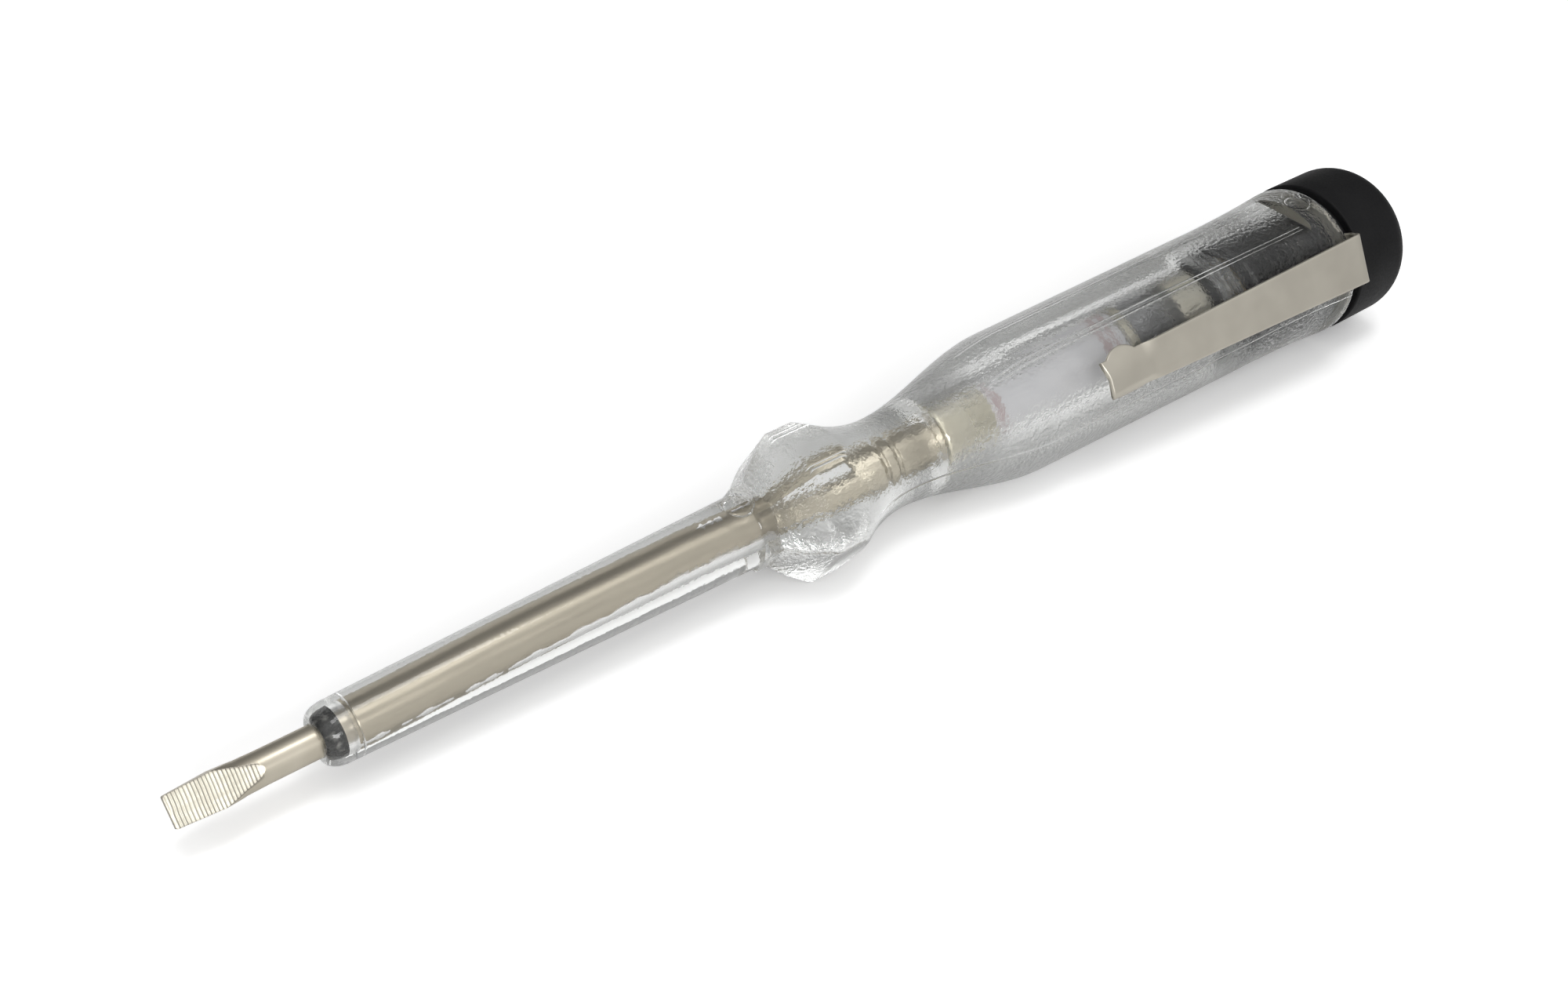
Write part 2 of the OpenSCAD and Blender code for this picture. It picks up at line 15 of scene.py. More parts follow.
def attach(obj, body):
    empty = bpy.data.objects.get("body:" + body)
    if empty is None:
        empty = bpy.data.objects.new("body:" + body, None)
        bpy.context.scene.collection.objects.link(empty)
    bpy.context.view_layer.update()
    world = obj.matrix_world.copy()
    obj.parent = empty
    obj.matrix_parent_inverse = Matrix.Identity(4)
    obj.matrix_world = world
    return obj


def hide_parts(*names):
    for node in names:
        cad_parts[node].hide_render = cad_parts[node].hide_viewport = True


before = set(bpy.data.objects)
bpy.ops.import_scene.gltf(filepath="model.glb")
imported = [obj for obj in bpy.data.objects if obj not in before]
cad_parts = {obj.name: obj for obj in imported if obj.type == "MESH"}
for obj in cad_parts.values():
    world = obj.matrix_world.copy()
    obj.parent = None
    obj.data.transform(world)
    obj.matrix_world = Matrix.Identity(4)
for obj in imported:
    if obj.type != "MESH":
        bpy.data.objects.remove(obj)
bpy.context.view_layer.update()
MM = 0.001

# %% [markdown]
# ## The camera
# The photograph looks down on the tool from the blade's side, a little off the
# panel. A camera could be placed by eye, but then no edge would fall where it does in
# the photograph. So a pinhole camera was fitted to the rings, the guard and the axis
# of the tool, and its place and directions are written in the part's own frame.

# %% The camera
CAMERA_PLACE = Vector((-0.02333, -0.09328, 0.10167))
CAMERA_FORWARD = Vector((0.51015, 0.58626, -0.62932))
CAMERA_RIGHT = Vector((0.77361, -0.63253, 0.03788))
CAMERA_LENS, SENSOR_WIDTH = 41.21, 36
NEAREST_SEEN, FARTHEST_SEEN = 0.005, 50


def in_scene(name, data):
    """A new object that holds the data, linked into the scene."""
    made = bpy.data.objects.new(name, data)
    bpy.context.scene.collection.objects.link(made)
    return made


def add_camera():
    """A camera whose axes are the fitted directions, made exactly square."""
    forward = CAMERA_FORWARD.normalized()
    up = CAMERA_RIGHT.cross(forward).normalized()
    right = forward.cross(up)
    turn = Matrix((right, up, -forward)).transposed().to_4x4()
    data = bpy.data.cameras.new("photo_camera")
    data.lens = CAMERA_LENS
    data.sensor_fit = "HORIZONTAL"
    data.sensor_width = SENSOR_WIDTH
    data.clip_start = NEAREST_SEEN
    data.clip_end = FARTHEST_SEEN
    camera = in_scene("photo_camera", data)
    camera.matrix_world = Matrix.Translation(CAMERA_PLACE) @ turn
    bpy.context.scene.camera = camera
    return camera


camera = add_camera()
print("camera at", tuple(round(v, 4) for v in camera.location))

# %% [markdown]
# ## Nodes in few words
# A material's nodes could be built by hand in the shader editor, but then nobody
# could read how. These helpers each make one node, join its inputs and hand back its
# output, so that a finish further down reads like a sum.


# %% Shader helpers
def link(tree, source, target):
    """Joins an output socket to an input socket."""
    tree.links.new(source, target)


def mapped(tree, value, low, high, to_low, to_high):
    """A value's range low..high turned into to_low..to_high, clamped."""
    node = tree.nodes.new("ShaderNodeMapRange")
    node.inputs["From Min"].default_value = low
    node.inputs["From Max"].default_value = high
    node.inputs["To Min"].default_value = to_low
    node.inputs["To Max"].default_value = to_high
    link(tree, value, node.inputs["Value"])
    return node.outputs["Result"]


def mixed(tree, share, first, second):
    """Two colours mixed by a share. Each is a socket or three numbers."""
    node = tree.nodes.new("ShaderNodeMix")
    node.data_type = "RGBA"
    link(tree, share, node.inputs["Factor"])
    for socket, color in ((node.inputs["A"], first), (node.inputs["B"], second)):
        if isinstance(color, tuple):
            socket.default_value = (*color, 1)
        else:
            link(tree, color, socket)
    return node.outputs["Result"]


print("shader helpers:", ", ".join(helper.__name__ for helper in (link, mapped, mixed)))


# %% More shader helpers
def worked_out(tree, operation, *values):
    """The result of one Math node. Each value is a socket or a number."""
    node = tree.nodes.new("ShaderNodeMath")
    node.operation = operation
    for socket, value in zip(node.inputs, values):
        if isinstance(value, (int, float)):
            socket.default_value = value
        else:
            link(tree, value, socket)
    return node.outputs["Value"]


def bump(tree, height, distance):
    """A normal from a height in 0..1, whose full height is a distance in metres."""
    node = tree.nodes.new("ShaderNodeBump")
    node.inputs["Strength"].default_value = 1.0
    node.inputs["Distance"].default_value = distance
    link(tree, height, node.inputs["Height"])
    return node.outputs["Normal"]


def light_path(tree):
    """The outputs that say what kind of ray meets the surface."""
    return tree.nodes.new("ShaderNodeLightPath").outputs


print("and", ", ".join(helper.__name__ for helper in (worked_out, bump, light_path)))

# %% [markdown]
# ## The floor
# The tool lies on plain white. It rests on the ridge of its guard and on its wider
# cap, so the floor is tilted by a degree and a half against it. A floor that is bright
# enough to look white would also light the tool from below until it goes pale. So it
# has three shades: one for the camera, one for rays that come through the clear
# plastic, and a plain one for the light that it throws back.

# %% The floor
GUARD_REST, CAP_REST = (58.5, -6.3), (137.3, -8.32)
FLOOR_MIDDLE_X, FLOOR_HALF, FLOOR_GAP = 0.07, 4.0, 0.02
FLOOR_PLAIN, FLOOR_SEEN, FLOOR_THROUGH = 0.85, 1.34, 1.15


def floor_mesh():
    """A square along the line through the guard's ridge and the cap's rear."""
    slope = (CAP_REST[1] - GUARD_REST[1]) / (CAP_REST[0] - GUARD_REST[0])
    corners = []
    for x, y in ((-1, -1), (1, -1), (1, 1), (-1, 1)):
        place = FLOOR_MIDDLE_X + x * FLOOR_HALF
        height = (GUARD_REST[1] - FLOOR_GAP) * MM + slope * (place - GUARD_REST[0] * MM)
        corners.append((place, y * FLOOR_HALF, height))
    mesh = bpy.data.meshes.new("floor")
    mesh.from_pydata(corners, [], [(0, 1, 2, 3)])
    print("floor tilted by", round(math.degrees(math.atan(abs(slope))), 2), "degrees")
    return mesh


def floor_white():
    """Matt white with a shade of its own for each kind of ray."""
    material = bpy.data.materials.new("floor_white")
    material.use_nodes = True
    tree = material.node_tree
    shader = tree.nodes["Principled BSDF"]
    shader.inputs["Roughness"].default_value = 1
    shader.inputs["Specular IOR Level"].default_value = 0
    path = light_path(tree)
    through = mixed(tree, path["Is Transmission Ray"], (FLOOR_PLAIN,) * 3, (FLOOR_THROUGH,) * 3)
    seen = mixed(tree, path["Is Camera Ray"], through, (FLOOR_SEEN,) * 3)
    link(tree, seen, shader.inputs["Base Color"])
    return material


floor = in_scene("floor", floor_mesh())
floor.data.materials.append(floor_white())

# %% [markdown]
# ## The light
# A bare white surround would make the metal look like flat paper. So the world is
# darker low down and behind the tool, and a long soft key light and a top light draw
# the bright bands along the shaft. The camera itself sees plain white past the floor.

# %% The light
LIT_FROM, LIT_SPAN = (-0.1, -0.55, 0.75), (0.15, 0.7)
HORIZON, OVERHEAD, WORLD_STRENGTH = 0.43, 1.45, 0.6
MIDDLE = (0.07, 0.0, 0.0)
LIGHTS = {"key_light": ((-0.2, -0.66, 0.4), (0.36, 0.2), 2.0),
          "top_light": ((0.1, -0.1, 0.9), (0.5, 0.2), 1.35)}


def add_area_light(name, place, size, watts):
    """A soft rectangular light at a place, turned to the middle of the tool."""
    data = bpy.data.lights.new(name, "AREA")
    data.shape = "RECTANGLE"
    data.size, data.size_y = size
    data.energy = watts
    light = in_scene(name, data)
    direction = Vector(MIDDLE) - Vector(place)
    light.rotation_euler = direction.to_track_quat("-Z", "Y").to_euler()
    light.location = place


def set_world():
    """A white surround whose brightness grows with the dot product of its direction
    and the lit one. The camera sees 1 divided by the strength, which is plain white."""
    world = bpy.data.worlds.new("studio")
    bpy.context.scene.world = world
    world.use_nodes = True
    tree = world.node_tree
    direction = tree.nodes.new("ShaderNodeTexCoord")
    facing = tree.nodes.new("ShaderNodeVectorMath")
    facing.operation = "DOT_PRODUCT"
    facing.inputs[1].default_value = LIT_FROM
    link(tree, direction.outputs["Generated"], facing.inputs[0])
    shade = mapped(tree, facing.outputs["Value"], *LIT_SPAN, HORIZON, OVERHEAD)
    seen = mixed(tree, light_path(tree)["Is Camera Ray"], shade, (1 / WORLD_STRENGTH,) * 3)
    background = tree.nodes["Background"]
    background.inputs["Strength"].default_value = WORLD_STRENGTH
    link(tree, seen, background.inputs["Color"])


set_world()
for name, (place, size, watts) in LIGHTS.items():
    add_area_light(name, place, size, watts)
bpy.context.scene.view_settings.view_transform = "Standard"
print(len(LIGHTS), "lights of", sum(light[2] for light in LIGHTS.values()), "watts in all")

# %% [markdown]
# ## Surface marks
# Real surfaces carry fine grain, long scratches and soft patches. A picture of such
# marks would need a mapping for every piece. Noise on Object coordinates needs none,
# and as a node group it is built once and placed in each material with its own scales.

# %% Surface marks
MARK_DETAILS = {"Grain": 3, "Scratch": 4, "Patch": 2}
MARK_SCALES = {"Grain": 4000, "Scratch": 3000, "Patch": 250}
SCRATCH_STRETCH = (0.06, 1, 1)


def surface_marks_group():
    """Object coordinates in; grain, scratches and patches out, each 0 to 1. The
    scratches are a noise drawn out along the tool."""
    group = bpy.data.node_groups.new("surface_marks", "ShaderNodeTree")
    group.interface.new_socket("Vector", in_out="INPUT", socket_type="NodeSocketVector")
    for mark in MARK_DETAILS:
        group.interface.new_socket(mark + " Scale", in_out="INPUT", socket_type="NodeSocketFloat")
    for mark in MARK_DETAILS:
        group.interface.new_socket(mark, in_out="OUTPUT", socket_type="NodeSocketFloat")
    entry = group.nodes.new("NodeGroupInput")
    leave = group.nodes.new("NodeGroupOutput")
    stretch = group.nodes.new("ShaderNodeVectorMath")
    stretch.operation = "MULTIPLY"
    stretch.inputs[1].default_value = SCRATCH_STRETCH
    link(group, entry.outputs["Vector"], stretch.inputs[0])
    for mark, detail in MARK_DETAILS.items():
        noise = group.nodes.new("ShaderNodeTexNoise")
        noise.inputs["Detail"].default_value = detail
        source = stretch if mark == "Scratch" else entry
        link(group, source.outputs["Vector"], noise.inputs["Vector"])
        link(group, entry.outputs[mark + " Scale"], noise.inputs["Scale"])
        link(group, noise.outputs["Fac"], leave.inputs[mark])
    return group


MARKS = surface_marks_group()
print("marks:", ", ".join(MARK_DETAILS))

# %% [markdown]
# ## What every finish starts with
# Every finish needs a Principled shader, the piece's own coordinates and the marks.
# Copying one material again and again would copy its mistakes too, so a function
# makes the start, and three small ones read places, noise and colour back from it.


# %% The start of a finish
def new_material(name, color, metallic, roughness, ior=1.5):
    """A material with its Principled shader, Object coordinates and the marks group."""
    material = bpy.data.materials.new(name)
    material.use_nodes = True
    nodes = material.node_tree.nodes
    shader = nodes["Principled BSDF"]
    shader.inputs["Base Color"].default_value = (*color, 1)
    shader.inputs["Metallic"].default_value = metallic
    shader.inputs["Roughness"].default_value = roughness
    shader.inputs["IOR"].default_value = ior
    coordinates = nodes.new("ShaderNodeTexCoord")
    marks = nodes.new("ShaderNodeGroup")
    marks.node_tree = MARKS
    for mark, scale in MARK_SCALES.items():
        marks.inputs[mark + " Scale"].default_value = scale
    link(material.node_tree, coordinates.outputs["Object"], marks.inputs["Vector"])
    return material, shader, marks


def object_place(tree):
    """The X, Y and Z of a material's Object coordinates, in metres."""
    split = tree.nodes.new("ShaderNodeSeparateXYZ")
    link(tree, tree.nodes["Texture Coordinate"].outputs["Object"], split.inputs["Vector"])
    return split.outputs


def speckle(tree, scale, detail):
    """A noise of its own on a material's Object coordinates, 0 to 1."""
    noise = tree.nodes.new("ShaderNodeTexNoise")
    noise.inputs["Scale"].default_value = scale
    noise.inputs["Detail"].default_value = detail
    link(tree, tree.nodes["Texture Coordinate"].outputs["Object"], noise.inputs["Vector"])
    return noise.outputs["Fac"]


def colour_so_far(material):
    """A material's tree, its shader and the colour socket that it has so far."""
    shader = material.node_tree.nodes["Principled BSDF"]
    return material.node_tree, shader, shader.inputs["Base Color"].links[0].from_socket


print("scales of the marks:", MARK_SCALES)

# %% [markdown]
# ## Metals
# The blade and the clip are nickel plated, the contacts are duller nickel, the stud is
# brass and the leads are copper clad. The resistor's front cap has a lighter copy of the
# contacts' nickel, which is painted light. Each could have a flat colour, but plate is never
# even: its tone drifts in soft patches and its gloss changes along fine scratches.

# %% Metals
METAL_GRAIN, METAL_PATCHES, METAL_GLOSS = 0.0000015, (0.35, 0.65), (0.3, 0.7)


def metal(name, color, dark, roughness, gloss_spread=0.08):
    """A plated or ground metal: colour patches, uneven gloss and a fine grain."""
    material, shader, marks = new_material(name, color, 1.0, roughness)
    tree = material.node_tree
    share = mapped(tree, marks.outputs["Patch"], *METAL_PATCHES, 0, 1)
    link(tree, mixed(tree, share, color, dark), shader.inputs["Base Color"])
    gloss = mapped(tree, marks.outputs["Scratch"], *METAL_GLOSS,
                   roughness - gloss_spread, roughness + gloss_spread)
    link(tree, gloss, shader.inputs["Roughness"])
    link(tree, bump(tree, marks.outputs["Grain"], METAL_GRAIN), shader.inputs["Normal"])
    return material


CLIP_NICKEL = metal("clip_nickel", (0.60, 0.567, 0.49), (0.55, 0.517, 0.446), 0.37, 0.03)
CONTACT_NICKEL = metal("contact_nickel", (0.48, 0.45, 0.37), (0.38, 0.355, 0.29), 0.34)
# painted light: a lighter copy of the contact nickel, for the resistor's front cap only
LIT_CONTACT_NICKEL = metal("lit_contact_nickel", (0.78, 0.73, 0.60), (0.62, 0.58, 0.46), 0.3)
ELECTRODE_METAL = metal("electrode_metal", (0.16, 0.16, 0.165), (0.1, 0.1, 0.1), 0.4)
LEAD_WIRE = metal("lead_wire", (0.62, 0.45, 0.33), (0.5, 0.36, 0.27), 0.35)
SPRING_WIRE = metal("spring_wire", (0.75, 0.75, 0.75), (0.62, 0.62, 0.62), 0.18)
STUD_BRASS = metal("stud_brass", (0.68, 0.55, 0.3), (0.56, 0.45, 0.25), 0.3)
SOLDER = metal("solder", (0.7, 0.7, 0.72), (0.6, 0.6, 0.62), 0.35)
print("materials so far, with the model's own:", len(bpy.data.materials))

# %% [markdown]
# ## The blade's metal
# The blade is one bar with several tones: bare plate in front, painted shade where the
# moulding covers it, and a ground tip with painted shade in its groove valleys and worn edges. Separate
# materials would leave hard borders. So one material reads the place along the tool,
# and attributes that the blade's mesh will carry for its face, groove shade and wear.

# %% The blade's metal
# Painted shade on the shaft where the moulding covers it: it grows in behind the nose, and past the
# guard a share of it stays.
SLEEVE_SHADE_START, SLEEVE_SHADE_END, SLEEVE_SHADE_REST = (12.2, 14.2), (55, 60), 0.35
SLEEVE_SHADE_TONE, GROUND_TONE = (0.42, 0.38, 0.31), (0.42, 0.40, 0.34)
# The groove tone is painted shade in the grinding grooves' valleys. The worn tone is wear.
GROOVE_SHADE_TONE, WORN_TONE = (0.25, 0.235, 0.19), (0.2, 0.185, 0.16)
GROOVE_SHADE_SHARE, WORN_SHARE = 0.6, 0.75
GROOVE_SHADE_FROM, WORN_FROM = 0.1, 0.2


def attribute(tree, name):
    """The value of a piece's own float attribute."""
    node = tree.nodes.new("ShaderNodeAttribute")
    node.attribute_name = name
    return node.outputs["Fac"]


def blade_metal():
    """Plated steel with painted shade along its covered stretch, a ground face, painted shade in the
    groove valleys and worn edges.
    """
    material = metal("blade_nickel", (0.61, 0.565, 0.47), (0.54, 0.495, 0.405), 0.36, 0.05)
    tree, shader, tone = colour_so_far(material)
    along = object_place(tree)["X"]
    # painted shade: the covered shaft is darkened, most of all along the sleeve
    sleeve_shade = worked_out(tree, "MULTIPLY",
                         mapped(tree, along, SLEEVE_SHADE_START[0] * MM, SLEEVE_SHADE_START[1] * MM, 0, 1),
                         mapped(tree, along, SLEEVE_SHADE_END[0] * MM, SLEEVE_SHADE_END[1] * MM, 1, SLEEVE_SHADE_REST))
    # painted shade in the grooves' valleys, darkest where the groove is deepest
    groove_shade = mapped(tree, attribute(tree, "groove_shade"), GROOVE_SHADE_FROM, 1.0, 0, GROOVE_SHADE_SHARE)
    worn = mapped(tree, attribute(tree, "wear"), WORN_FROM, 1.0, 0, WORN_SHARE)
    for share, other in ((sleeve_shade, SLEEVE_SHADE_TONE), (attribute(tree, "ground_face"), GROUND_TONE),
                         (groove_shade, GROOVE_SHADE_TONE), (worn, WORN_TONE)):
        tone = mixed(tree, share, tone, other)
    link(tree, tone, shader.inputs["Base Color"])
    return material


BLADE_NICKEL = blade_metal()
print(BLADE_NICKEL.name, "has", len(BLADE_NICKEL.node_tree.nodes), "nodes")

# %% [markdown]
# ## Plastic, rubber and lacquer
# The cap is matt black plastic, the ring is rubber and the resistor is lacquered. One
# function makes all three, as metal but with Metallic at 0 and a gloss that follows
# the grain. The black is very dark and throws back little, because even a small sheen
# makes black plastic look grey.

# %% Plastic and rubber
PLASTIC_GRAIN, PLASTIC_PATCHES, PLASTIC_GLOSS = 0.000002, (0.4, 0.7), (0.3, 0.7)
GLOSSIER, DULLER, CAP_SPECULAR = 0.05, 0.08, 0.14


def plastic(name, color, light, roughness, grain_depth=PLASTIC_GRAIN):
    """A moulded or painted surface: slight colour change, uneven gloss and grain."""
    material, shader, marks = new_material(name, color, 0.0, roughness)
    tree = material.node_tree
    share = mapped(tree, marks.outputs["Patch"], *PLASTIC_PATCHES, 0, 1)
    link(tree, mixed(tree, share, color, light), shader.inputs["Base Color"])
    gloss = mapped(tree, marks.outputs["Grain"], *PLASTIC_GLOSS,
                   roughness - GLOSSIER, roughness + DULLER)
    link(tree, gloss, shader.inputs["Roughness"])
    link(tree, bump(tree, marks.outputs["Grain"], grain_depth), shader.inputs["Normal"])
    return material


BLACK_MOULDING = plastic("black_moulding", (0.004, 0.004, 0.0045), (0.007, 0.007, 0.0075), 0.5)
cap_shader = BLACK_MOULDING.node_tree.nodes["Principled BSDF"]
cap_shader.inputs["Specular IOR Level"].default_value = CAP_SPECULAR
BLACK_RUBBER = plastic("black_rubber", (0.012, 0.012, 0.012), (0.02, 0.02, 0.02), 0.7)
print("black surfaces:", BLACK_MOULDING.name, BLACK_RUBBER.name)

# %% [markdown]
# ## The resistor's lacquer
# The rod is dipped in pale lacquer and has thin dark red bands. Bands cut from the
# mesh would be sharp, and the real ones are ragged. So the place along the tool gets a
# little noise before it is compared with the middle and half width of each band.

# %% The resistor's lacquer
ROD_BANDS = ((82.2, 0.4), (96.7, 0.5), (98.0, 0.3))
BAND_RED, BAND_SHARE = (0.20, 0.06, 0.05), 0.5
RAGGED_SCALE, RAGGED_REACH = 1200, 0.6


def banded_lacquer():
    """Pale lacquer with thin dark red bands that a rough edge breaks up."""
    material = plastic("resistor_body", (0.48, 0.475, 0.50), (0.54, 0.53, 0.55), 0.35)
    tree, shader, tone = colour_so_far(material)
    shift = mapped(tree, speckle(tree, RAGGED_SCALE, 2), 0, 1, -RAGGED_REACH * MM, RAGGED_REACH * MM)
    place = worked_out(tree, "ADD", object_place(tree)["X"], shift)
    for middle, half in ROD_BANDS:
        near = worked_out(tree, "COMPARE", place, middle * MM, half * MM)
        tone = mixed(tree, mapped(tree, near, 0, 1, 0, BAND_SHARE), tone, BAND_RED)
    link(tree, tone, shader.inputs["Base Color"])
    return material


ROD_LACQUER = banded_lacquer()
print(ROD_LACQUER.name, "with", len(ROD_BANDS), "bands")

# %% [markdown]
# ## Ripples of the clear moulding
# Moulded plastic is never quite flat. The sleeve is calm, but the guard and the grip
# are wavy, and they bend what lies behind them. Waves in the mesh would need millions
# of faces, so a bump makes them. A colour ramp says how strong it is at each place.

# %% Ripples along the tool
TOOL_LENGTH = 140
RIPPLE_ZONES = ((13, 0.05), (54, 0.08), (55, 0.9), (58.3, 0.9), (59, 0.5), (66, 0.5), (72, 0.8),
                (92, 0.4), (116, 0.9))


def ripple_zones(tree):
    """The strength of the ripples: straight lines between the places of the table."""
    zones = tree.nodes.new("ShaderNodeValToRGB")
    stops = zones.color_ramp.elements
    for stop, zone in zip(stops, RIPPLE_ZONES):
        stop.position = zone[0] / TOOL_LENGTH
    for zone in RIPPLE_ZONES[len(stops):]:
        stops.new(zone[0] / TOOL_LENGTH)
    for stop, zone in zip(stops, RIPPLE_ZONES):
        stop.color = (zone[1],) * 3 + (1,)
    link(tree, mapped(tree, object_place(tree)["X"], 0, TOOL_LENGTH * MM, 0, 1), zones.inputs["Fac"])
    return zones.outputs["Color"]


print("strongest ripples:", max(zone[1] for zone in RIPPLE_ZONES))

# %% [markdown]
# ## Rays that pass straight on
# Glass in a path tracer blocks shadow rays, so everything in the handle would be
# black, and a Transparent shader alone wouldn't bend light. So the two are mixed by
# the kind of ray. Camera and mirror rays are bent. Shadow and diffuse rays go straight
# on and are dimmed where they enter, so that the tool still throws a pale shadow. Very
# deep rays go straight on too, or they would end in black specks.

# %% Rays that pass
DEEPEST_BEND = 4.5


def let_rays_pass(tree, shader, enter_share, tint):
    """Shadow, diffuse and deep rays pass, times enter_share at the outer side of the
    surface and times the tint at its inner side."""
    path = light_path(tree)
    geometry = tree.nodes.new("ShaderNodeNewGeometry")
    dim = worked_out(tree, "MAXIMUM", path["Is Shadow Ray"], path["Is Diffuse Ray"])
    deep = worked_out(tree, "GREATER_THAN", path["Ray Depth"], DEEPEST_BEND)
    through = tree.nodes.new("ShaderNodeBsdfTransparent")
    shade = mixed(tree, geometry.outputs["Backfacing"], (enter_share,) * 3, tint)
    link(tree, shade, through.inputs["Color"])
    choose = tree.nodes.new("ShaderNodeMixShader")
    link(tree, worked_out(tree, "MAXIMUM", dim, deep), choose.inputs["Fac"])
    link(tree, shader.outputs["BSDF"], choose.inputs[1])
    link(tree, through.outputs["BSDF"], choose.inputs[2])
    link(tree, choose.outputs["Shader"], tree.nodes["Material Output"].inputs["Surface"])


print("rays are bent up to bounce", int(DEEPEST_BEND))

# %% [markdown]
# ## Clear plastic and glass
# The handle's walls and the lamp's bulb are both made by one function: a Principled
# shader with full transmission, the ripples, and more blur where the ripples are
# strong. Plain glass would show the inside too sharply for moulded plastic.

# %% Clear plastic and glass
MOULDING_IOR = 1.49
CALM_PATCH_SCALE, CALM_PATCHES, CALM_SHARE = 70, (0.4, 0.6), 0.45
BLUR_FROM, BLUR_TIMES = 0.1, 3


def clear_plastic(name, tint, enter_share, ripple_scale, ripple_depth, roughness,
                  ior=MOULDING_IOR):
    """A transmitting shader whose ripples follow the zones, calmed in soft patches."""
    material, shader, marks = new_material(name, tint, 0.0, roughness, ior)
    tree = material.node_tree
    shader.inputs["Transmission Weight"].default_value = 1.0
    marks.inputs["Grain Scale"].default_value = ripple_scale
    marks.inputs["Patch Scale"].default_value = CALM_PATCH_SCALE
    zones = ripple_zones(tree)
    calm = mapped(tree, marks.outputs["Patch"], *CALM_PATCHES, CALM_SHARE, 1.0)
    ripple = bump(tree, marks.outputs["Grain"], ripple_depth)
    link(tree, worked_out(tree, "MULTIPLY", zones, calm), ripple.node.inputs["Strength"])
    link(tree, ripple, shader.inputs["Normal"])
    blur = mapped(tree, zones, BLUR_FROM, 1.0, roughness, roughness * BLUR_TIMES)
    link(tree, blur, shader.inputs["Roughness"])
    let_rays_pass(tree, shader, enter_share, tint)
    return material


LAMP_GLASS = clear_plastic("lamp_glass", tint=(0.5, 0.5, 0.51), enter_share=0.8,
                           ripple_scale=600, ripple_depth=0.000001, roughness=0.05)
print(LAMP_GLASS.name, "made")

# %% [markdown]
# ## Lines left by the mould
# The two halves of the mould leave a seam along both sides, ejector pins leave round
# marks, and plain lines run beside the panel's middle. They are hair-thin, too fine
# for the mesh, so each is a soft ridge worked out from the place and added to the bump.

# %% Marks of the ejector pins
SLEEVE_PAD_X, SLEEVE_PAD_H, RIM_PAD_X, RIM_PAD_H = 52.6, 3.2, 127.95, 8.0
PIN_RING_R, PIN_RING_HALF = 1.3, 0.2


def raised_line(tree, value, middle, half_width):
    """A value turned into a soft ridge, 1 at the middle and 0 past its half width."""
    away = worked_out(tree, "ABSOLUTE", worked_out(tree, "SUBTRACT", value, middle * MM))
    node = mapped(tree, away, 0, half_width * MM, 1, 0).node
    node.interpolation_type = "SMOOTHSTEP"
    return node.outputs["Result"]


def pin_rings(tree):
    """A ring round the middle of each ejector mark, from the distance to it."""
    rings = []
    for x, height in ((RIM_PAD_X, RIM_PAD_H), (SLEEVE_PAD_X, SLEEVE_PAD_H)):
        near = tree.nodes.new("ShaderNodeVectorMath")
        near.operation = "DISTANCE"
        near.inputs[1].default_value = (x * MM, 0, height * MM)
        link(tree, tree.nodes["Texture Coordinate"].outputs["Object"], near.inputs[0])
        rings.append(raised_line(tree, near.outputs["Value"], PIN_RING_R, PIN_RING_HALF))
    return rings


print("pin marks at x", SLEEVE_PAD_X, "and", RIM_PAD_X)

# %% Lines left by the mould
THIN_HALF, PANEL_LINE_HALF, LINE_HEIGHT = 0.12, 0.13, 0.25
SLEEVE_RING_X, SEAM_START = 14.6, (64, 66)
PANEL_TOP, PANEL_LINES_END, PANEL_LINES_Y = (6.0, 6.5), (125.5, 125.8), (2.4, 2.9)


def panel_lines(tree, place):
    """Two lines on each side of the panel's middle, from the distance to it."""
    side = worked_out(tree, "ABSOLUTE", place["Y"])
    top = mapped(tree, place["Z"], PANEL_TOP[0] * MM, PANEL_TOP[1] * MM, 0, 1)
    before = mapped(tree, place["X"], PANEL_LINES_END[0] * MM, PANEL_LINES_END[1] * MM, 1, 0)
    on_panel = worked_out(tree, "MULTIPLY", top, before)
    return [worked_out(tree, "MULTIPLY", raised_line(tree, side, y, PANEL_LINE_HALF), on_panel)
            for y in PANEL_LINES_Y]


def mould_lines(material):
    """The highest of all lines at each place, laid over the ripples as one more bump.
    The result is the number of lines."""
    tree = material.node_tree
    place = object_place(tree)
    seam = raised_line(tree, place["Z"], 0, THIN_HALF)
    beyond = mapped(tree, place["X"], SEAM_START[0] * MM, SEAM_START[1] * MM, 0, 1)
    lines = pin_rings(tree) + [raised_line(tree, place["X"], SLEEVE_RING_X, THIN_HALF),
                               worked_out(tree, "MULTIPLY", seam, beyond)]
    height, *others = lines + panel_lines(tree, place)
    for line in others:
        height = worked_out(tree, "MAXIMUM", height, line)
    normal = tree.nodes["Principled BSDF"].inputs["Normal"]
    relief = bump(tree, height, LINE_HEIGHT * MM)
    link(tree, normal.links[0].from_socket, relief.node.inputs["Normal"])
    link(tree, relief, normal)
    return len(others) + 1


CLEAR_OUTSIDE = clear_plastic("clear_moulding", tint=(0.94, 0.948, 0.934), enter_share=0.3,
                              ripple_scale=2300, ripple_depth=0.0003, roughness=0.035)
print(mould_lines(CLEAR_OUTSIDE), "lines and rings on", CLEAR_OUTSIDE.name)

# %% [markdown]
# ## The moulding's inner walls
# The bore is blurred and hardly tints. Its threaded mouth looks dark, because the
# greased thread touches the black plug and reflects little: a lower index of
# refraction does that, and a darker tint alone doesn't. Where a film of air lies round
# the shaft, the wall is frosted. The narrow gap at the nose is painted black with pale
# streaks, a painted shade for the dark that the nose shows there.

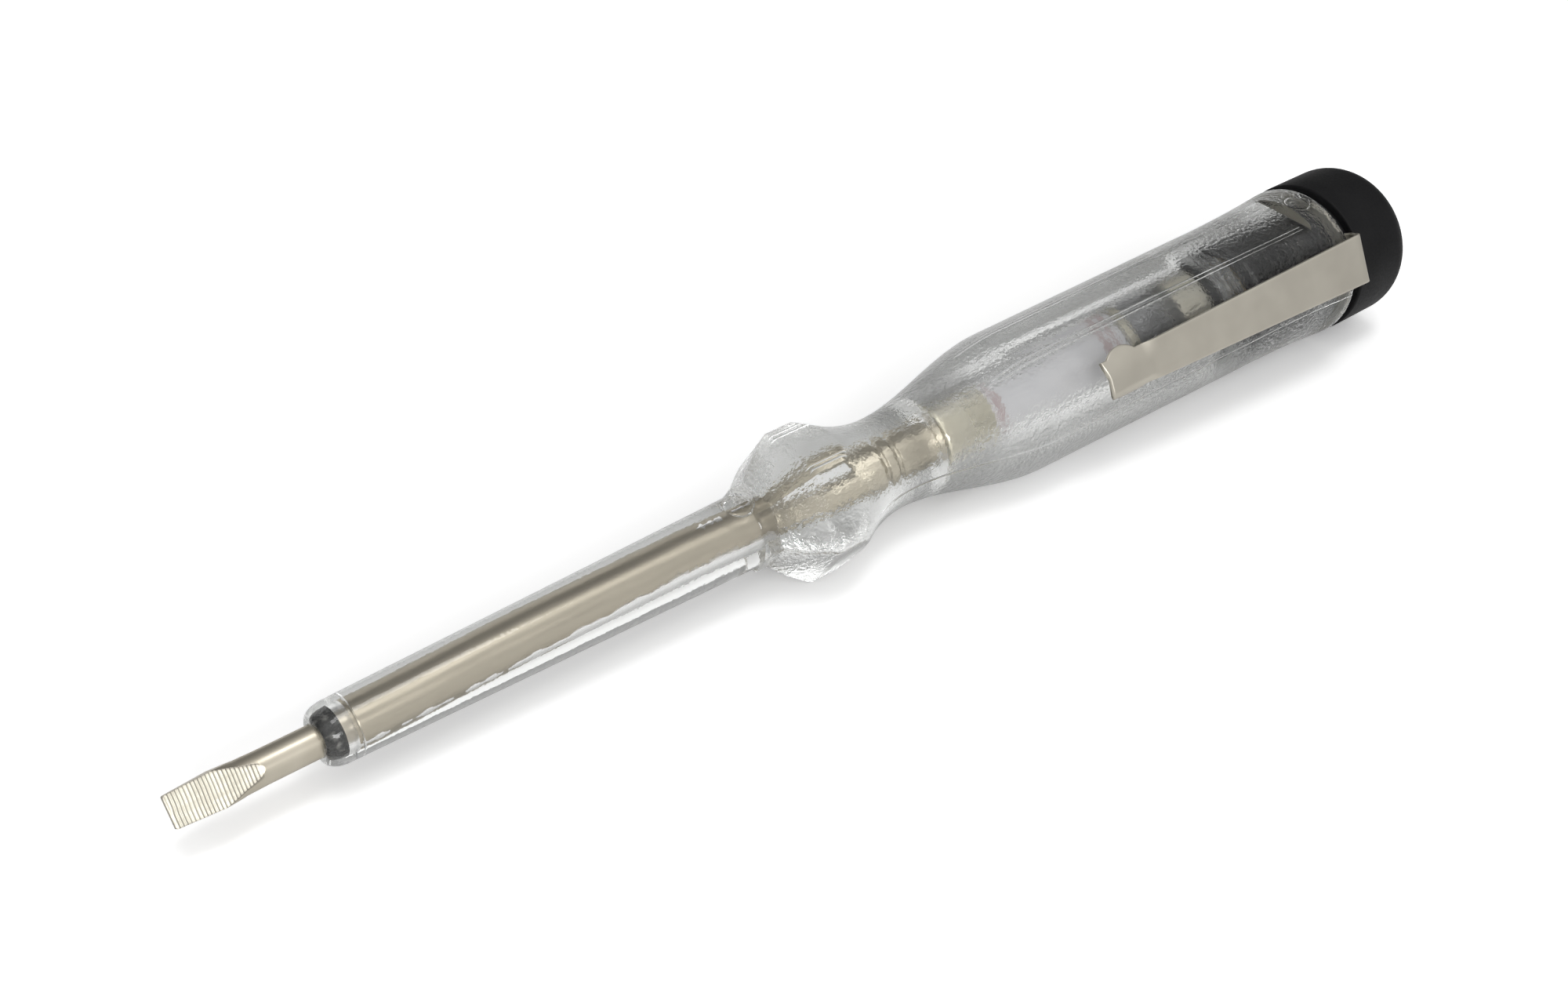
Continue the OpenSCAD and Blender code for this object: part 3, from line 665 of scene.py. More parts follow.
# %% The moulding's inner walls
GREASED_IOR = 1.2
STREAK_SCALE, STREAK_DETAIL, STREAK_SPAN = 1500, 4, (0.56, 0.72)
STREAK_SHARE, STREAK_TONE = 0.3, (0.5, 0.49, 0.46)


def painted_gap_shade():
    """Painted shade: near black, with pale streaks where a noise is highest."""
    material = plastic("nose_gap_shade", (0.006, 0.006, 0.0065), (0.018, 0.018, 0.017), 0.25, 0.00002)
    tree, shader, dark = colour_so_far(material)
    streaks = speckle(tree, STREAK_SCALE, STREAK_DETAIL)
    share = mapped(tree, streaks, *STREAK_SPAN, 0, STREAK_SHARE)
    link(tree, mixed(tree, share, dark, STREAK_TONE), shader.inputs["Base Color"])
    return material


CLEAR_BORE = clear_plastic("clear_moulding_bore", tint=(0.97, 0.975, 0.97), enter_share=0.97,
                           ripple_scale=2200, ripple_depth=0.00002, roughness=0.12)
CLEAR_THREAD = clear_plastic("clear_moulding_thread", tint=(0.54, 0.545, 0.54), enter_share=0.97,
                             ripple_scale=1500, ripple_depth=0.0003, roughness=0.03, ior=GREASED_IOR)
CLEAR_FILM = clear_plastic("clear_moulding_film", tint=(0.86, 0.86, 0.87), enter_share=0.97,
                           ripple_scale=2200, ripple_depth=0.00002, roughness=0.3)
# painted shade: a near black surface in the nose's narrow gap
NOSE_GAP_SHADE = painted_gap_shade()
print("materials in all, with the model's own:", len(bpy.data.materials))

# %% [markdown]
# ## Meshes from arrays
# Every new piece is a grid of points: rows along the tool and columns around it.
# The points could be made one by one with bmesh, but a formula over whole arrays is
# quicker to run and to read. One function turns any such grid into a mesh.


# %% Faces of a grid
def grid_faces(rows, columns, wrap_rows):
    """Quads between neighbouring rows and columns. Columns always close round."""
    last = rows if wrap_rows else rows - 1
    i, j = np.meshgrid(np.arange(last), np.arange(columns), indexing="ij")
    i_next = (i + 1) % rows
    j_next = (j + 1) % columns
    corners = [i * columns + j, i * columns + j_next,
               i_next * columns + j_next, i_next * columns + j]
    return np.stack(corners, axis=-1).reshape(-1, 4)


def fan_faces(first, columns, tip):
    """Triangles from one row of points to a single point."""
    j = np.arange(columns)
    return np.stack([first + j, first + (j + 1) % columns, np.full(columns, tip)], axis=-1)


print("a tube of 3 rows by 8 columns has", len(grid_faces(3, 8, False)), "quads")


# %% A mesh from points and faces
def write_mesh(name, points, quads, triangles):
    """A smooth-shaded mesh from arrays of points and faces, turned to face outwards.

    The volume under the quads is the sum of a . (b x c) over their two halves. Where
    it is negative, the faces look inwards and their corners are put in reverse order."""
    a, b, c, d = (points[quads[:, k]] for k in range(4))
    volume = np.einsum("ij,ij->i", a, np.cross(b, c)).sum()
    volume += np.einsum("ij,ij->i", a, np.cross(c, d)).sum()
    if volume < 0:
        quads = quads[:, ::-1]
        triangles = triangles[:, ::-1]
    mesh = bpy.data.meshes.new(name)
    loops = np.concatenate([quads.ravel(), triangles.ravel()])
    sizes = np.concatenate([np.full(len(quads), 4), np.full(len(triangles), 3)])
    starts = np.concatenate([[0], np.cumsum(sizes)[:-1]])
    mesh.vertices.add(len(points))
    mesh.vertices.foreach_set("co", points.astype(np.float32).ravel())
    mesh.loops.add(len(loops))
    mesh.loops.foreach_set("vertex_index", loops.astype(np.int32))
    mesh.polygons.add(len(sizes))
    mesh.polygons.foreach_set("loop_start", starts.astype(np.int32))
    mesh.polygons.foreach_set("use_smooth", np.ones(len(sizes), bool))
    mesh.update(calc_edges=True)
    mesh.validate()
    return mesh


def surface(name, grid, closed_rows=False):
    """An object from a grid of points in millimetres, rows by columns by xyz.

    Columns close round. Rows close round too where closed_rows says so, and
    otherwise each end is closed by a fan to the middle of its last row."""
    rows, columns = grid.shape[:2]
    points = grid.reshape(-1, 3) * MM
    triangles = np.zeros((0, 3), int)
    if not closed_rows:
        ends = np.array([points[:columns].mean(0), points[-columns:].mean(0)])
        tip = len(points)
        points = np.concatenate([points, ends])
        front = fan_faces(0, columns, tip)[:, ::-1]
        back = fan_faces((rows - 1) * columns, columns, tip + 1)
        triangles = np.concatenate([front, back])
    mesh = write_mesh(name, points, grid_faces(rows, columns, closed_rows), triangles)
    print(name, len(mesh.vertices), "points", len(mesh.polygons), "faces")
    return in_scene(name, mesh)


# %% [markdown]
# ## Shapes as formulas
# The tool's shapes are radii that change along its axis and around it. Sharp steps
# between two formulas would look cut, and a bevel afterwards would need clean edges
# that such a grid doesn't have. So each change is eased in the formula itself.


# %% Shape helpers
def around_axis(x, radius, angle):
    """Points of a grid at a radius from the long axis. The angle is counted from
    the panel's side, right-handed about the axis, so it grows towards -Y."""
    return np.stack([x, -radius * np.sin(angle), radius * np.cos(angle)], axis=-1)


def ease(t):
    """A smooth step from 0 to 1: t squared times 3 less 2 t."""
    t = np.clip(t, 0, 1)
    return t * t * (3 - 2 * t)


def grows(x, start, run):
    """0 up to the start, then eased to 1 over the run."""
    return ease((x - start) / run)


def fades(x, end, run):
    """0 from the end on, and eased up to 1 over the run before it."""
    return ease((end - x) / run)


def smooth_min(a, b, width):
    """The smaller of two values, with the crossing rounded over a width."""
    share = np.clip(0.5 + 0.5 * (b - a) / width, 0, 1)
    return b * (1 - share) + a * share - width * share * (1 - share)


print("the smaller of 1 and 1.05, rounded:", round(float(smooth_min(1, 1.05, 0.1)), 3))

# %% [markdown]
# ## The handle
# The moulding is one closed skin. Its outer rows run from the nose to the rim, and its
# inner rows come back through the threaded mouth, the bore and the tight hole round
# the shaft. It could be joined from a turned body, a six-sided block and a cut for the
# panel, but seams show badly in clear plastic. So the radius is one function of the
# place and the angle. First comes its turned outline, from nose to rim.

# %% The turned outline
NOSE_X, SLEEVE_FRONT_R = 11.5, 2.625
GUARD_X, SLEEVE_REAR_R = 54.7, 3.45
GUARD_REAR_X, GUARD_REAR_R = 64.5, 5.55
NECK_X, NECK_R = 69.45, 4.5
SHOULDER_X, SHOULDER_R = 86.05, 7.3
GRIP_X, GRIP_R = 115.05, 7.65
RIM_X, RIM_R = 129.85, 8.3


def outer_round(x):
    """The radius of the turned outline: sleeve, rear fillet of the guard, smooth
    shoulder, straight grip and a flare that grows with the square of its length."""
    sleeve = SLEEVE_FRONT_R + (SLEEVE_REAR_R - SLEEVE_FRONT_R) * (x - NOSE_X) / (GUARD_X - NOSE_X)
    t = np.clip((x - GUARD_REAR_X) / (NECK_X - GUARD_REAR_X), 0, 1)
    fillet = NECK_R + (GUARD_REAR_R - NECK_R) * (1 - t) ** 2
    shoulder = NECK_R + (SHOULDER_R - NECK_R) * grows(x, NECK_X, SHOULDER_X - NECK_X)
    grip = SHOULDER_R + (GRIP_R - SHOULDER_R) * (x - SHOULDER_X) / (GRIP_X - SHOULDER_X)
    flare = GRIP_R + (RIM_R - GRIP_R) * np.clip((x - GRIP_X) / (RIM_X - GRIP_X), 0, 1) ** 2
    return np.select([x < GUARD_REAR_X, x < NECK_X, x < SHOULDER_X, x < GRIP_X],
                     [np.minimum(sleeve, SLEEVE_REAR_R), fillet, shoulder, grip], flare)


print("radius at neck, shoulder, grip and rim:",
      outer_round(np.array([NECK_X, SHOULDER_X, GRIP_X, RIM_X])).round(2))

# %% [markdown]
# ## The guard
# The guard keeps the fingers off the blade. It has six sloping planes in front, six
# flats and a coned rear that was trimmed round. A section through a prism is the
# height of its flat divided by the cosine of the turn from that flat, and where two
# flats meet, the smaller radius counts, rounded a little as in the mould.

# %% The guard
RIDGE_X, GUARD_FLAT_X, GUARD_FLAT_R = 58.5, 61.4, 6.3
GUARD_TRIM_R = GUARD_FLAT_R / math.cos(math.pi / 6) * 0.985
FRONT_BULGE = 0.78
RIDGE_SOFT, FLAT_EDGE_SOFT, TRIM_SOFT = 0.07, 0.05, 0.08


def guard_radius(x, angle):
    """Six sloping front planes, six flats and a coned rear, with soft edges. The
    planes rise with a power of their run, so that they bulge slightly."""
    sixth = math.pi / 3
    turn = np.abs((angle + sixth / 2) % sixth - sixth / 2)
    run = np.clip((x - GUARD_X) / (RIDGE_X - GUARD_X), 0, 1.2)
    front = SLEEVE_REAR_R + (GUARD_FLAT_R - SLEEVE_REAR_R) * run ** FRONT_BULGE
    height = smooth_min(front, GUARD_FLAT_R, RIDGE_SOFT)
    flats = smooth_min(height / np.cos(turn), height / np.cos(sixth - turn), FLAT_EDGE_SOFT)
    fall = (GUARD_TRIM_R - GUARD_REAR_R) / (GUARD_REAR_X - GUARD_FLAT_X)
    cone = np.minimum(GUARD_TRIM_R, GUARD_TRIM_R - fall * (x - GUARD_FLAT_X))
    return smooth_min(flats, cone, TRIM_SOFT)


print("guard at its flat and its corner:",
      guard_radius(np.full(2, 60.0), np.array([0, math.pi / 6])).round(2))

# %% [markdown]
# ## The panel
# The grip has one flat panel on its upper side, which ends in a low wall with rounded
# corners near the rim. A flat cut into a round bar is the height divided by the cosine
# of the angle. Past the wall the round radius comes back.

# %% The panel
PANEL_H, PANEL_END_X, PANEL_HALF_W, PANEL_CORNER = 7.03, 126.25, 4.2, 1.5
PANEL_EDGE_SOFT, WALL_RUN = 0.06, 0.16


def panel_wall_x(angle):
    """Where the panel's rear wall stands: straight across, with rounded corners."""
    y = np.abs(PANEL_H * np.tan(np.clip(angle, -0.6, 0.6)))
    beyond = np.clip(y - (PANEL_HALF_W - PANEL_CORNER), 0, PANEL_CORNER * 0.99)
    return PANEL_END_X - PANEL_CORNER + np.sqrt(PANEL_CORNER ** 2 - beyond ** 2)


def flat_level(angle, height):
    """The radius of a flat at a height on the upper side."""
    return height / np.maximum(np.cos(angle), 0.5)


def with_panel(x, angle, radius):
    """The round radius cut down to the panel, and whole again behind its wall."""
    level = np.where(np.cos(angle) > 0.5, flat_level(angle, PANEL_H), 50)
    panel = smooth_min(radius, level, PANEL_EDGE_SOFT)
    behind_wall = grows(x, panel_wall_x(angle), WALL_RUN)
    return np.where(x > NECK_X, panel * (1 - behind_wall) + radius * behind_wall, radius)


print("panel is cut in by", round(GRIP_R - PANEL_H, 2), "mm at the grip")

# %% [markdown]
# ## The whole outside
# Two ejector pins left shallow round pads, one on the sleeve and one beside the rim.
# They are small flats: inside a circle the radius is held down to the pad's level. The
# outside is then the outline, the guard, the panel and the pads, one after the other.

# %% The whole outside
GUARD_FOOT, GUARD_FOOT_SOFT = 1.5, 0.1
PAD_DEPTH, PAD_EDGE = 0.2, 0.07
PADS = ((SLEEVE_PAD_X, 1.4), (RIM_PAD_X, 1.5))


def with_pad(x, angle, radius, pad_x, pad_r):
    """The radius held down to a pad's level inside its circle, eased at the edge."""
    pad_h = outer_round(np.array([pad_x]))[0] - PAD_DEPTH
    away = np.hypot(x - pad_x, radius * np.sin(angle)) - pad_r
    inside = (np.cos(angle) > 0.5) * (1 - ease(away / PAD_EDGE + 0.5))
    sunk = np.minimum(radius, flat_level(angle, pad_h))
    return radius * (1 - inside) + sunk * inside


def outer_radius(x, angle):
    """The whole outside: turned outline, guard, panel and the two shallow round pads."""
    radius = outer_round(x)
    guard = guard_radius(x, angle)
    in_guard = (x > GUARD_X - GUARD_FOOT) & (x < GUARD_REAR_X)
    radius = np.where(in_guard, -smooth_min(-radius, -guard, GUARD_FOOT_SOFT), radius)
    radius = with_panel(x, angle, radius)
    for pad_x, pad_r in PADS:
        radius = with_pad(x, angle, radius, pad_x, pad_r)
    return radius


print("upper side at both pads:", [round(float(outer_radius(np.array([pad[0]]), np.zeros(1))[0]), 2)
                                   for pad in PADS])

# %% [markdown]
# ## The screw thread
# The cap screws into the mouth of the handle, so both need the same thread. A Screw
# modifier on a profile would leave open ends. Here the thread is a wave on the radius:
# its phase is the place along the axis less the turn, and it fades out at both ends.

# %% The screw thread
THREAD_R, THREAD_DEPTH, THREAD_PITCH = 4.5, 0.4, 1.25
THREAD_X, MOUTH_X, THREAD_FADE = 113.05, 127.6, 0.8


def thread_fade(x):
    """1 along the threaded stretch of the mouth, eased to 0 at both its ends."""
    return grows(x, THREAD_X, THREAD_FADE) * fades(x, MOUTH_X, THREAD_FADE)


def thread_wave(x, angle):
    """A rounded thread profile from 0 to 1 that climbs right-handed along the axis."""
    phase = x / THREAD_PITCH - angle / (2 * math.pi)
    wave = 1 - np.abs((phase % 1) * 2 - 1)
    return ease(wave * 1.3 - 0.15) * thread_fade(x)


print("turns of thread in the mouth:", round((MOUTH_X - THREAD_X) / THREAD_PITCH, 1))

# %% [markdown]
# ## The hole round the shaft
# The plastic was moulded round the shaft and shrank onto it. In most places they
# touch, and in some a thin film of air lies between them and shines like silver. Both
# surfaces must never coincide, or the tracer can't tell them apart. So the hole is two
# hundredths of a millimetre tighter than the shaft where they touch and wider where
# the film lies. The long thin shaft also bows a little.

# %% The shaft and its bow
SHAFT_R, GROOVE_W, GROOVE_DEPTH = 1.4, 0.8, 0.25
GROOVE_PLACES = (56.41, 58.31, 67.7575, 69.6575)
BOW, BOW_Y, BOW_Z = 0.2, 0.72, 0.69
BOW_START, BOW_END = (15, 16), (56, 10)


def shaft_radius(x):
    """The shaft with its four anchor grooves."""
    radius = SHAFT_R + 0 * x
    for place in GROOVE_PLACES:
        wall = ease((np.abs(x - place) - GROOVE_W / 4) / (GROOVE_W / 4))
        radius = radius - GROOVE_DEPTH * (1 - wall)
    return radius


def bowed(grid):
    """A grid of points moved up and to the rear, most of all halfway along the sleeve."""
    x = grid[..., 0]
    shift = BOW * grows(x, *BOW_START) * fades(x, *BOW_END)
    return grid + np.stack([0 * shift, BOW_Y * shift, BOW_Z * shift], axis=-1)


print("shaft radius on bar and in groove:", shaft_radius(np.array([40, GROOVE_PLACES[0]])).round(2))

# %% The air film
FILM_T, LOWER_SIDE, UPPER_SIDE, SHORE_W = 0.02, 120, 338, 0.1
FILM_WAVES = ((0.07, 1.3, 0), (0.05, 3.1, 1))
FINE_WAVES, FINE_START = ((0.07, 7.3, 2), (0.06, 13.1, 0)), (40, 8)
LOWER_GROWS, UPPER_GROWS = (22, 30), (44, 7)
FILM_STOP, NOSE_CLEAR = (56.5, 2), (14.7, 0.3)


def ripples(x, waves):
    """The sum of sine waves, each with a height, a rate and a start."""
    return sum(height * np.sin(x * rate + start) for height, rate, start in waves)


def film_patch(angle, middle, half):
    """1 within a half angle to both sides of a middle one, in degrees, eased at the shore."""
    away = np.abs((angle - math.radians(middle) + math.pi) % (2 * math.pi) - math.pi)
    return ease((half - away) / SHORE_W + 0.5)


def air_film(x, angle):
    """Thickness of the air between shaft and moulding. Below zero they touch. A
    film lies along the lower side, wider towards the guard and with a wavy edge. A
    second patch lies on top near the guard, and the nose stands clear all round."""
    waves = ripples(x, FILM_WAVES) + grows(x, *FINE_START) * ripples(x, FINE_WAVES)
    run = fades(x, *FILM_STOP)
    lower = (0.1 + 0.6 * grows(x, *LOWER_GROWS) + waves) * run - 0.3 * (1 - run)
    upper = (0.4 * grows(x, *UPPER_GROWS) + 1.3 * waves) * run - 0.3
    there = np.maximum(film_patch(angle, LOWER_SIDE, lower), film_patch(angle, UPPER_SIDE, upper))
    return 2 * FILM_T * np.maximum(there, fades(x, *NOSE_CLEAR)) - FILM_T


print("air on the lower side at x 20, 53 and 60:",
      air_film(np.array([20.0, 53.0, 60.0]), math.radians(LOWER_SIDE)).round(3))

# %% [markdown]
# ## The whole inside
# From the rim inwards: the threaded mouth, a short cone, the bore and the hole. The
# mouth's thread gets shallower towards the rim, so that the plug's thread passes it
# when the cap is unscrewed.

# %% The whole inside
BORE_R, BORE_X = 3.15, 74.65
THREAD_PLAY, SHALLOW_X, SHALLOW_RUN, SHALLOW_SHARE = 0.05, 115.5, 4, 0.7


def inner_radius(x, angle):
    """The mouth's thread, the cone, the bore and the tight hole round the shaft."""
    cone = THREAD_R - (THREAD_X - x)
    depth = THREAD_DEPTH * (1 - SHALLOW_SHARE * grows(x, SHALLOW_X, SHALLOW_RUN))
    female = THREAD_R + THREAD_PLAY - depth * (1 - thread_wave(x, angle))
    fade = thread_fade(x)
    mouth = THREAD_R * (1 - fade) + female * fade
    bore = np.maximum(BORE_R, np.minimum(cone, mouth))
    hole = shaft_radius(x) + air_film(x, angle)
    return np.where(x >= THREAD_X, mouth, np.where(x >= BORE_X, bore, hole))


print("inside at mouth, bore and hole:",
      inner_radius(np.array([129.0, 100.0, 70.5]), np.zeros(3)).round(2))

# %% [markdown]
# ## The handle's columns and rows
# An even grid would blur the guard's corners and the panel's edge, or need far too
# many points. So columns follow the edges, by moving with them from row to row, and
# rows crowd together wherever the shape turns quickly.

# %% Columns that follow the edges
COLUMN_SPANS = ((13, 0.8), (19, 0.85), (17, 0.85), (8, 0.8))
SLEEVE_EDGE, LEAST_EDGE = math.radians(30), math.radians(12)
EDGE_START_X, EDGE_RUN = 66, 14


def crowded(start, end, count, crowd=0.0):
    """Steps from start up to, but not with, end. A crowd near 1 draws them to both ends."""
    t = np.arange(count) / count
    t = t - crowd * np.sin(2 * np.pi * t) / (2 * np.pi)
    return start + (end - start) * t


def handle_angles(x):
    """Angles of the grid's columns in each row. One pair of columns follows the
    panel's edge and the guard's corners, and the others spread between them."""
    r = outer_round(x)
    edge = np.arccos(np.clip(PANEL_H / np.maximum(r, PANEL_H), 0, 1))
    blend = grows(x, EDGE_START_X, EDGE_RUN)
    edge = SLEEVE_EDGE * (1 - blend) + np.maximum(edge, LEAST_EDGE) * blend
    knots = [0 * edge, edge] + [0 * edge + math.radians(turn) for turn in (90, 150, 180)]
    parts = []
    for first, second, (count, crowd) in zip(knots, knots[1:], COLUMN_SPANS):
        share = crowded(0, 1, count, crowd)
        parts.append(first[:, None] + (second - first)[:, None] * share)
    half = np.concatenate(parts + [knots[-1][:, None]], axis=1)
    return np.concatenate([half, 2 * math.pi - half[:, -2:0:-1]], axis=1)


print("columns round the handle:", handle_angles(np.array([NECK_X])).shape[1])

# %% Rows along the handle
NOSE_LEN, NOSE_FRONT_X, NOSE_START_R, RIM_ROUND = 1.8, 11.8, 1.7, 0.3


def row_places(runs):
    """Rows of several runs, each with its start, end, count and crowding."""
    return np.concatenate([crowded(*run) for run in runs])


def outer_places():
    """Rows of the outside, close together wherever the shape turns quickly."""
    return row_places(((NOSE_X + NOSE_LEN, 51.0, 70, 0), (51.0, 54.2, 26, 0), (54.2, 55.2, 10, 0),
                       (55.2, RIDGE_X, 16, 0.85), (RIDGE_X, GUARD_FLAT_X, 14, 0.85),
                       (GUARD_FLAT_X, GUARD_REAR_X, 16, 0.8), (GUARD_REAR_X, 81, 44, 0.2),
                       (81, 87, 20, 0), (87, 124.6, 70, 0), (124.6, 126.1, 8, 0),
                       (126.1, 126.6, 14, 0), (126.6, RIM_X - RIM_ROUND, 28, 0)))


def bore_places():
    """Rows of the mouth and the bore, from the rim inwards."""
    return row_places(((RIM_X, THREAD_X, 130, 0), (THREAD_X, 111.0, 14, 0), (111.0, BORE_X, 80, 0.3)))


def hole_places():
    """Rows of the hole round the shaft, as far as the nose. The first place lies on the
    bore's floor, which has rows of its own, so it is left out."""
    runs = ((BORE_X, 71, 20, 0), (71, 66.5, 50, 0), (66.5, 59.5, 18, 0),
            (59.5, 55, 50, 0), (55, 14.8, 130, 0), (14.8, NOSE_FRONT_X, 24, 0))
    return np.append(row_places(runs)[1:], NOSE_FRONT_X)


print("rows outside, in the bore and in the hole:",
      len(outer_places()), len(bore_places()), len(hole_places()))

# %% [markdown]
# ## The handle's mesh
# The skin is walked once round: nose, outside, rounded rim, mouth and bore, the bore's
# floor and the hole. Rows near the panel's wall bend with it, so that the wall stays
# crisp at its round corners.

# %% Rows of the outside
WALL_REACH = 1.2


def round_rows(x, radius):
    """Rows with one place and one radius each."""
    angle = handle_angles(x)
    return around_axis(x[:, None] + 0 * angle, radius[:, None] + 0 * angle, angle)


def nose_rows():
    """A quarter circle from the nose's front edge to the sleeve."""
    rise = np.linspace(0, math.pi / 2, 13)[:-1]
    x = NOSE_FRONT_X + (NOSE_X + NOSE_LEN - NOSE_FRONT_X) * (1 - np.cos(rise))
    return round_rows(x, NOSE_START_R + (SLEEVE_FRONT_R - NOSE_START_R) * np.sin(rise))


def outside_rows():
    """Rows of the outside. On the upper side they bend with the panel's wall, by a
    share that falls off as a bell curve to both sides of it."""
    places = outer_places()
    angle = handle_angles(places)
    folded = np.where(angle > math.pi, angle - 2 * math.pi, angle)
    warp = np.exp(-((places - PANEL_END_X) / WALL_REACH) ** 2)[:, None]
    x = places[:, None] + warp * (panel_wall_x(folded) - PANEL_END_X) * (np.cos(angle) > 0)
    return around_axis(x, outer_radius(x, folded), angle)


def rim_rows():
    """A small quarter round from the outside to the rim's flat."""
    fall = np.linspace(0, math.pi / 2, 7)
    x = RIM_X - RIM_ROUND + RIM_ROUND * np.sin(fall)
    angle = handle_angles(x)
    radius = outer_radius(np.full_like(angle, RIM_X - RIM_ROUND), angle)
    return around_axis(x[:, None] + 0 * angle, radius - (RIM_ROUND * (1 - np.cos(fall)))[:, None], angle)


outer_parts = [nose_rows(), outside_rows(), rim_rows()]
handle_outer_rows = sum(len(part) for part in outer_parts)
print("rows of nose, outside and rim:", [len(part) for part in outer_parts])

# %% The whole skin
FLOOR_RADII = (BORE_R - 0.02, BORE_R - 0.4, 2.4, 1.9, 1.5)


def inner_rows(places):
    """Rows of the inside at their places."""
    angle = handle_angles(places)
    x = places[:, None] + 0 * angle
    return around_axis(x, inner_radius(x, angle), angle)


bore_floor = round_rows(np.full(len(FLOOR_RADII), BORE_X), np.array(FLOOR_RADII))
handle_points = np.concatenate(outer_parts + [inner_rows(bore_places()), bore_floor,
                                              bowed(inner_rows(hole_places()))])
handle = surface("clear_handle", handle_points, closed_rows=True)

# %% [markdown]
# ## The handle's finishes
# One skin with five finishes: each face gets the number of its material. The outside
# comes first, then the bore, and the thread, the nose gap and the air film are the
# stretches of the inside between two places.

# %% The handle's finishes
GAP_FRONT_X, GAP_REAR_X, FILM_END_X, THREAD_LEAD = 12.35, 13.75, 57, 2
OUTSIDE, BORE = 0, 1
for finish in (CLEAR_OUTSIDE, CLEAR_BORE, CLEAR_THREAD, NOSE_GAP_SHADE, CLEAR_FILM):
    handle.data.materials.append(finish)
columns = handle_points.shape[1]
slots = np.full(len(handle.data.polygons), BORE, np.int32)
slots[:(handle_outer_rows - 1) * columns] = OUTSIDE
row_x = np.repeat(handle_points[:, :, 0].mean(1), columns)
# the second stretch, the nose gap, carries the painted shade
stretches = ((THREAD_X - THREAD_LEAD, RIM_X + 1), (GAP_FRONT_X, GAP_REAR_X), (GAP_REAR_X, FILM_END_X))
for number, (start, end) in enumerate(stretches, BORE + 1):
    slots[(slots == BORE) & (row_x > start) & (row_x < end)] = number
handle.data.polygons.foreach_set("material_index", slots)
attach(handle, "tool")
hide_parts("handle")
print("faces of each finish:", np.bincount(slots))

# %% [markdown]
# ## The blade
# The blade is a round rod, ground to a wedge with two flats and plated. It could be
# cut from a cylinder with Booleans, which leaves ragged faces. Instead its section is
# the smallest of three limits: the half thickness, the half width and the round. The
# grinding wheel left fine grooves across the flats, so they are real waves.

# %% The blade's limits
BLADE_TURN = math.radians(48)
TIP_T, TIP_W, BLADE_W, WIDEST_X, GROUND_LEN = 0.5, 2.7, 3.0, 3.8, 7.3


def blade_limits(x):
    """Half thickness, half width and round radius of the blade at each place."""
    thick = TIP_T / 2 + (SHAFT_R - TIP_T / 2) * np.clip(x / GROUND_LEN, 0, 1)
    spread = np.interp(x, [0, WIDEST_X, GROUND_LEN], [TIP_W / 2, BLADE_W / 2, SHAFT_R])
    widest_t = TIP_T / 2 + (SHAFT_R - TIP_T / 2) * WIDEST_X / GROUND_LEN
    corner = math.hypot(BLADE_W / 2, widest_t) * 0.99
    middle = (WIDEST_X + GROUND_LEN) / 2
    round_r = np.interp(x, [0, WIDEST_X, middle, GROUND_LEN],
                        [corner, corner, SHAFT_R * 1.03, SHAFT_R])
    return thick, spread, np.where(x > GROUND_LEN, shaft_radius(x), round_r)


print("thickness and width at the widest place:",
      [round(2 * float(limit[0]), 2) for limit in blade_limits(np.array([WIDEST_X]))[:2]])

# %% [markdown]
# ## The blade's columns and rows
# The edges between flat, corner and side move along the blade. As on the handle, the
# columns move with them. Rows are dense on the ground face, seven to a groove, and
# over the anchor grooves, and wide apart on the plain bar.

# %% The blade's columns and rows
GRIND_PITCH, SHAFT_END_X, END_ROUND = 0.29, 75.05, 0.3
FLAT_SHARES = np.array([0, 0.2, 0.4, 0.6, 0.8, 0.92, 0.985])
ROUND_SHARES = np.linspace(0.015, 0.985, 15)
SIDE_SHARES = np.array([0.04, 0.3, 0.65, 1.0])


def blade_angles(thick, spread, round_r):
    """Column angles all round. A quarter has the flat, the round corner and the side,
    with extra columns close to both edges so that they stay crisp."""
    corner = np.arctan2(spread, thick)
    flat_end = np.minimum(np.arccos(np.clip(thick / round_r, 0, 1)), corner)
    side_start = np.maximum(np.arcsin(np.clip(spread / round_r, 0, 1)), corner)
    flat_end = np.clip(flat_end, 0.12, 1.4)[:, None]
    side_start = np.maximum(side_start, flat_end[:, 0] + 0.05)
    side_start = np.clip(side_start, 0.2, 1.5)[:, None]
    quarter = np.concatenate([flat_end * FLAT_SHARES,
                              flat_end + (side_start - flat_end) * ROUND_SHARES,
                              side_start + (math.pi / 2 - side_start) * SIDE_SHARES], axis=1)
    half = np.concatenate([quarter, math.pi - quarter[:, -2:0:-1]], axis=1)
    return np.concatenate([half, half + math.pi], axis=1)


def blade_places():
    """Rows from the tip's end to the shaft's end inside the handle."""
    tip = np.array([0, 0.03, 0.08])
    ground = np.arange(0.12, GROUND_LEN + 0.2, GRIND_PITCH / 7)
    plain = np.arange(GROUND_LEN + 0.25, 55.0, 0.5)
    grooved = np.concatenate([np.arange(55.1, 59.5, 0.08), np.arange(59.6, 66.6, 0.8),
                              np.arange(66.7, 70.6, 0.08), np.arange(71, 74.6, 0.6)])
    end = np.array([SHAFT_END_X - END_ROUND, SHAFT_END_X - 0.1, SHAFT_END_X - 0.02, SHAFT_END_X])
    return np.concatenate([tip, ground, plain, grooved, end])


print("rows along the blade:", len(blade_places()))

# %% [markdown]
# ## The blade's surface
# The grooves are a sine wave without its sign, pushed about a little so that no two
# look alike. While the radius is worked out, the same arrays say which points lie on
# the ground face, how deep in a groove, which the metal darkens as painted shade, and how
# close to a worn edge. They are kept as attributes, and the blade's metal reads them.


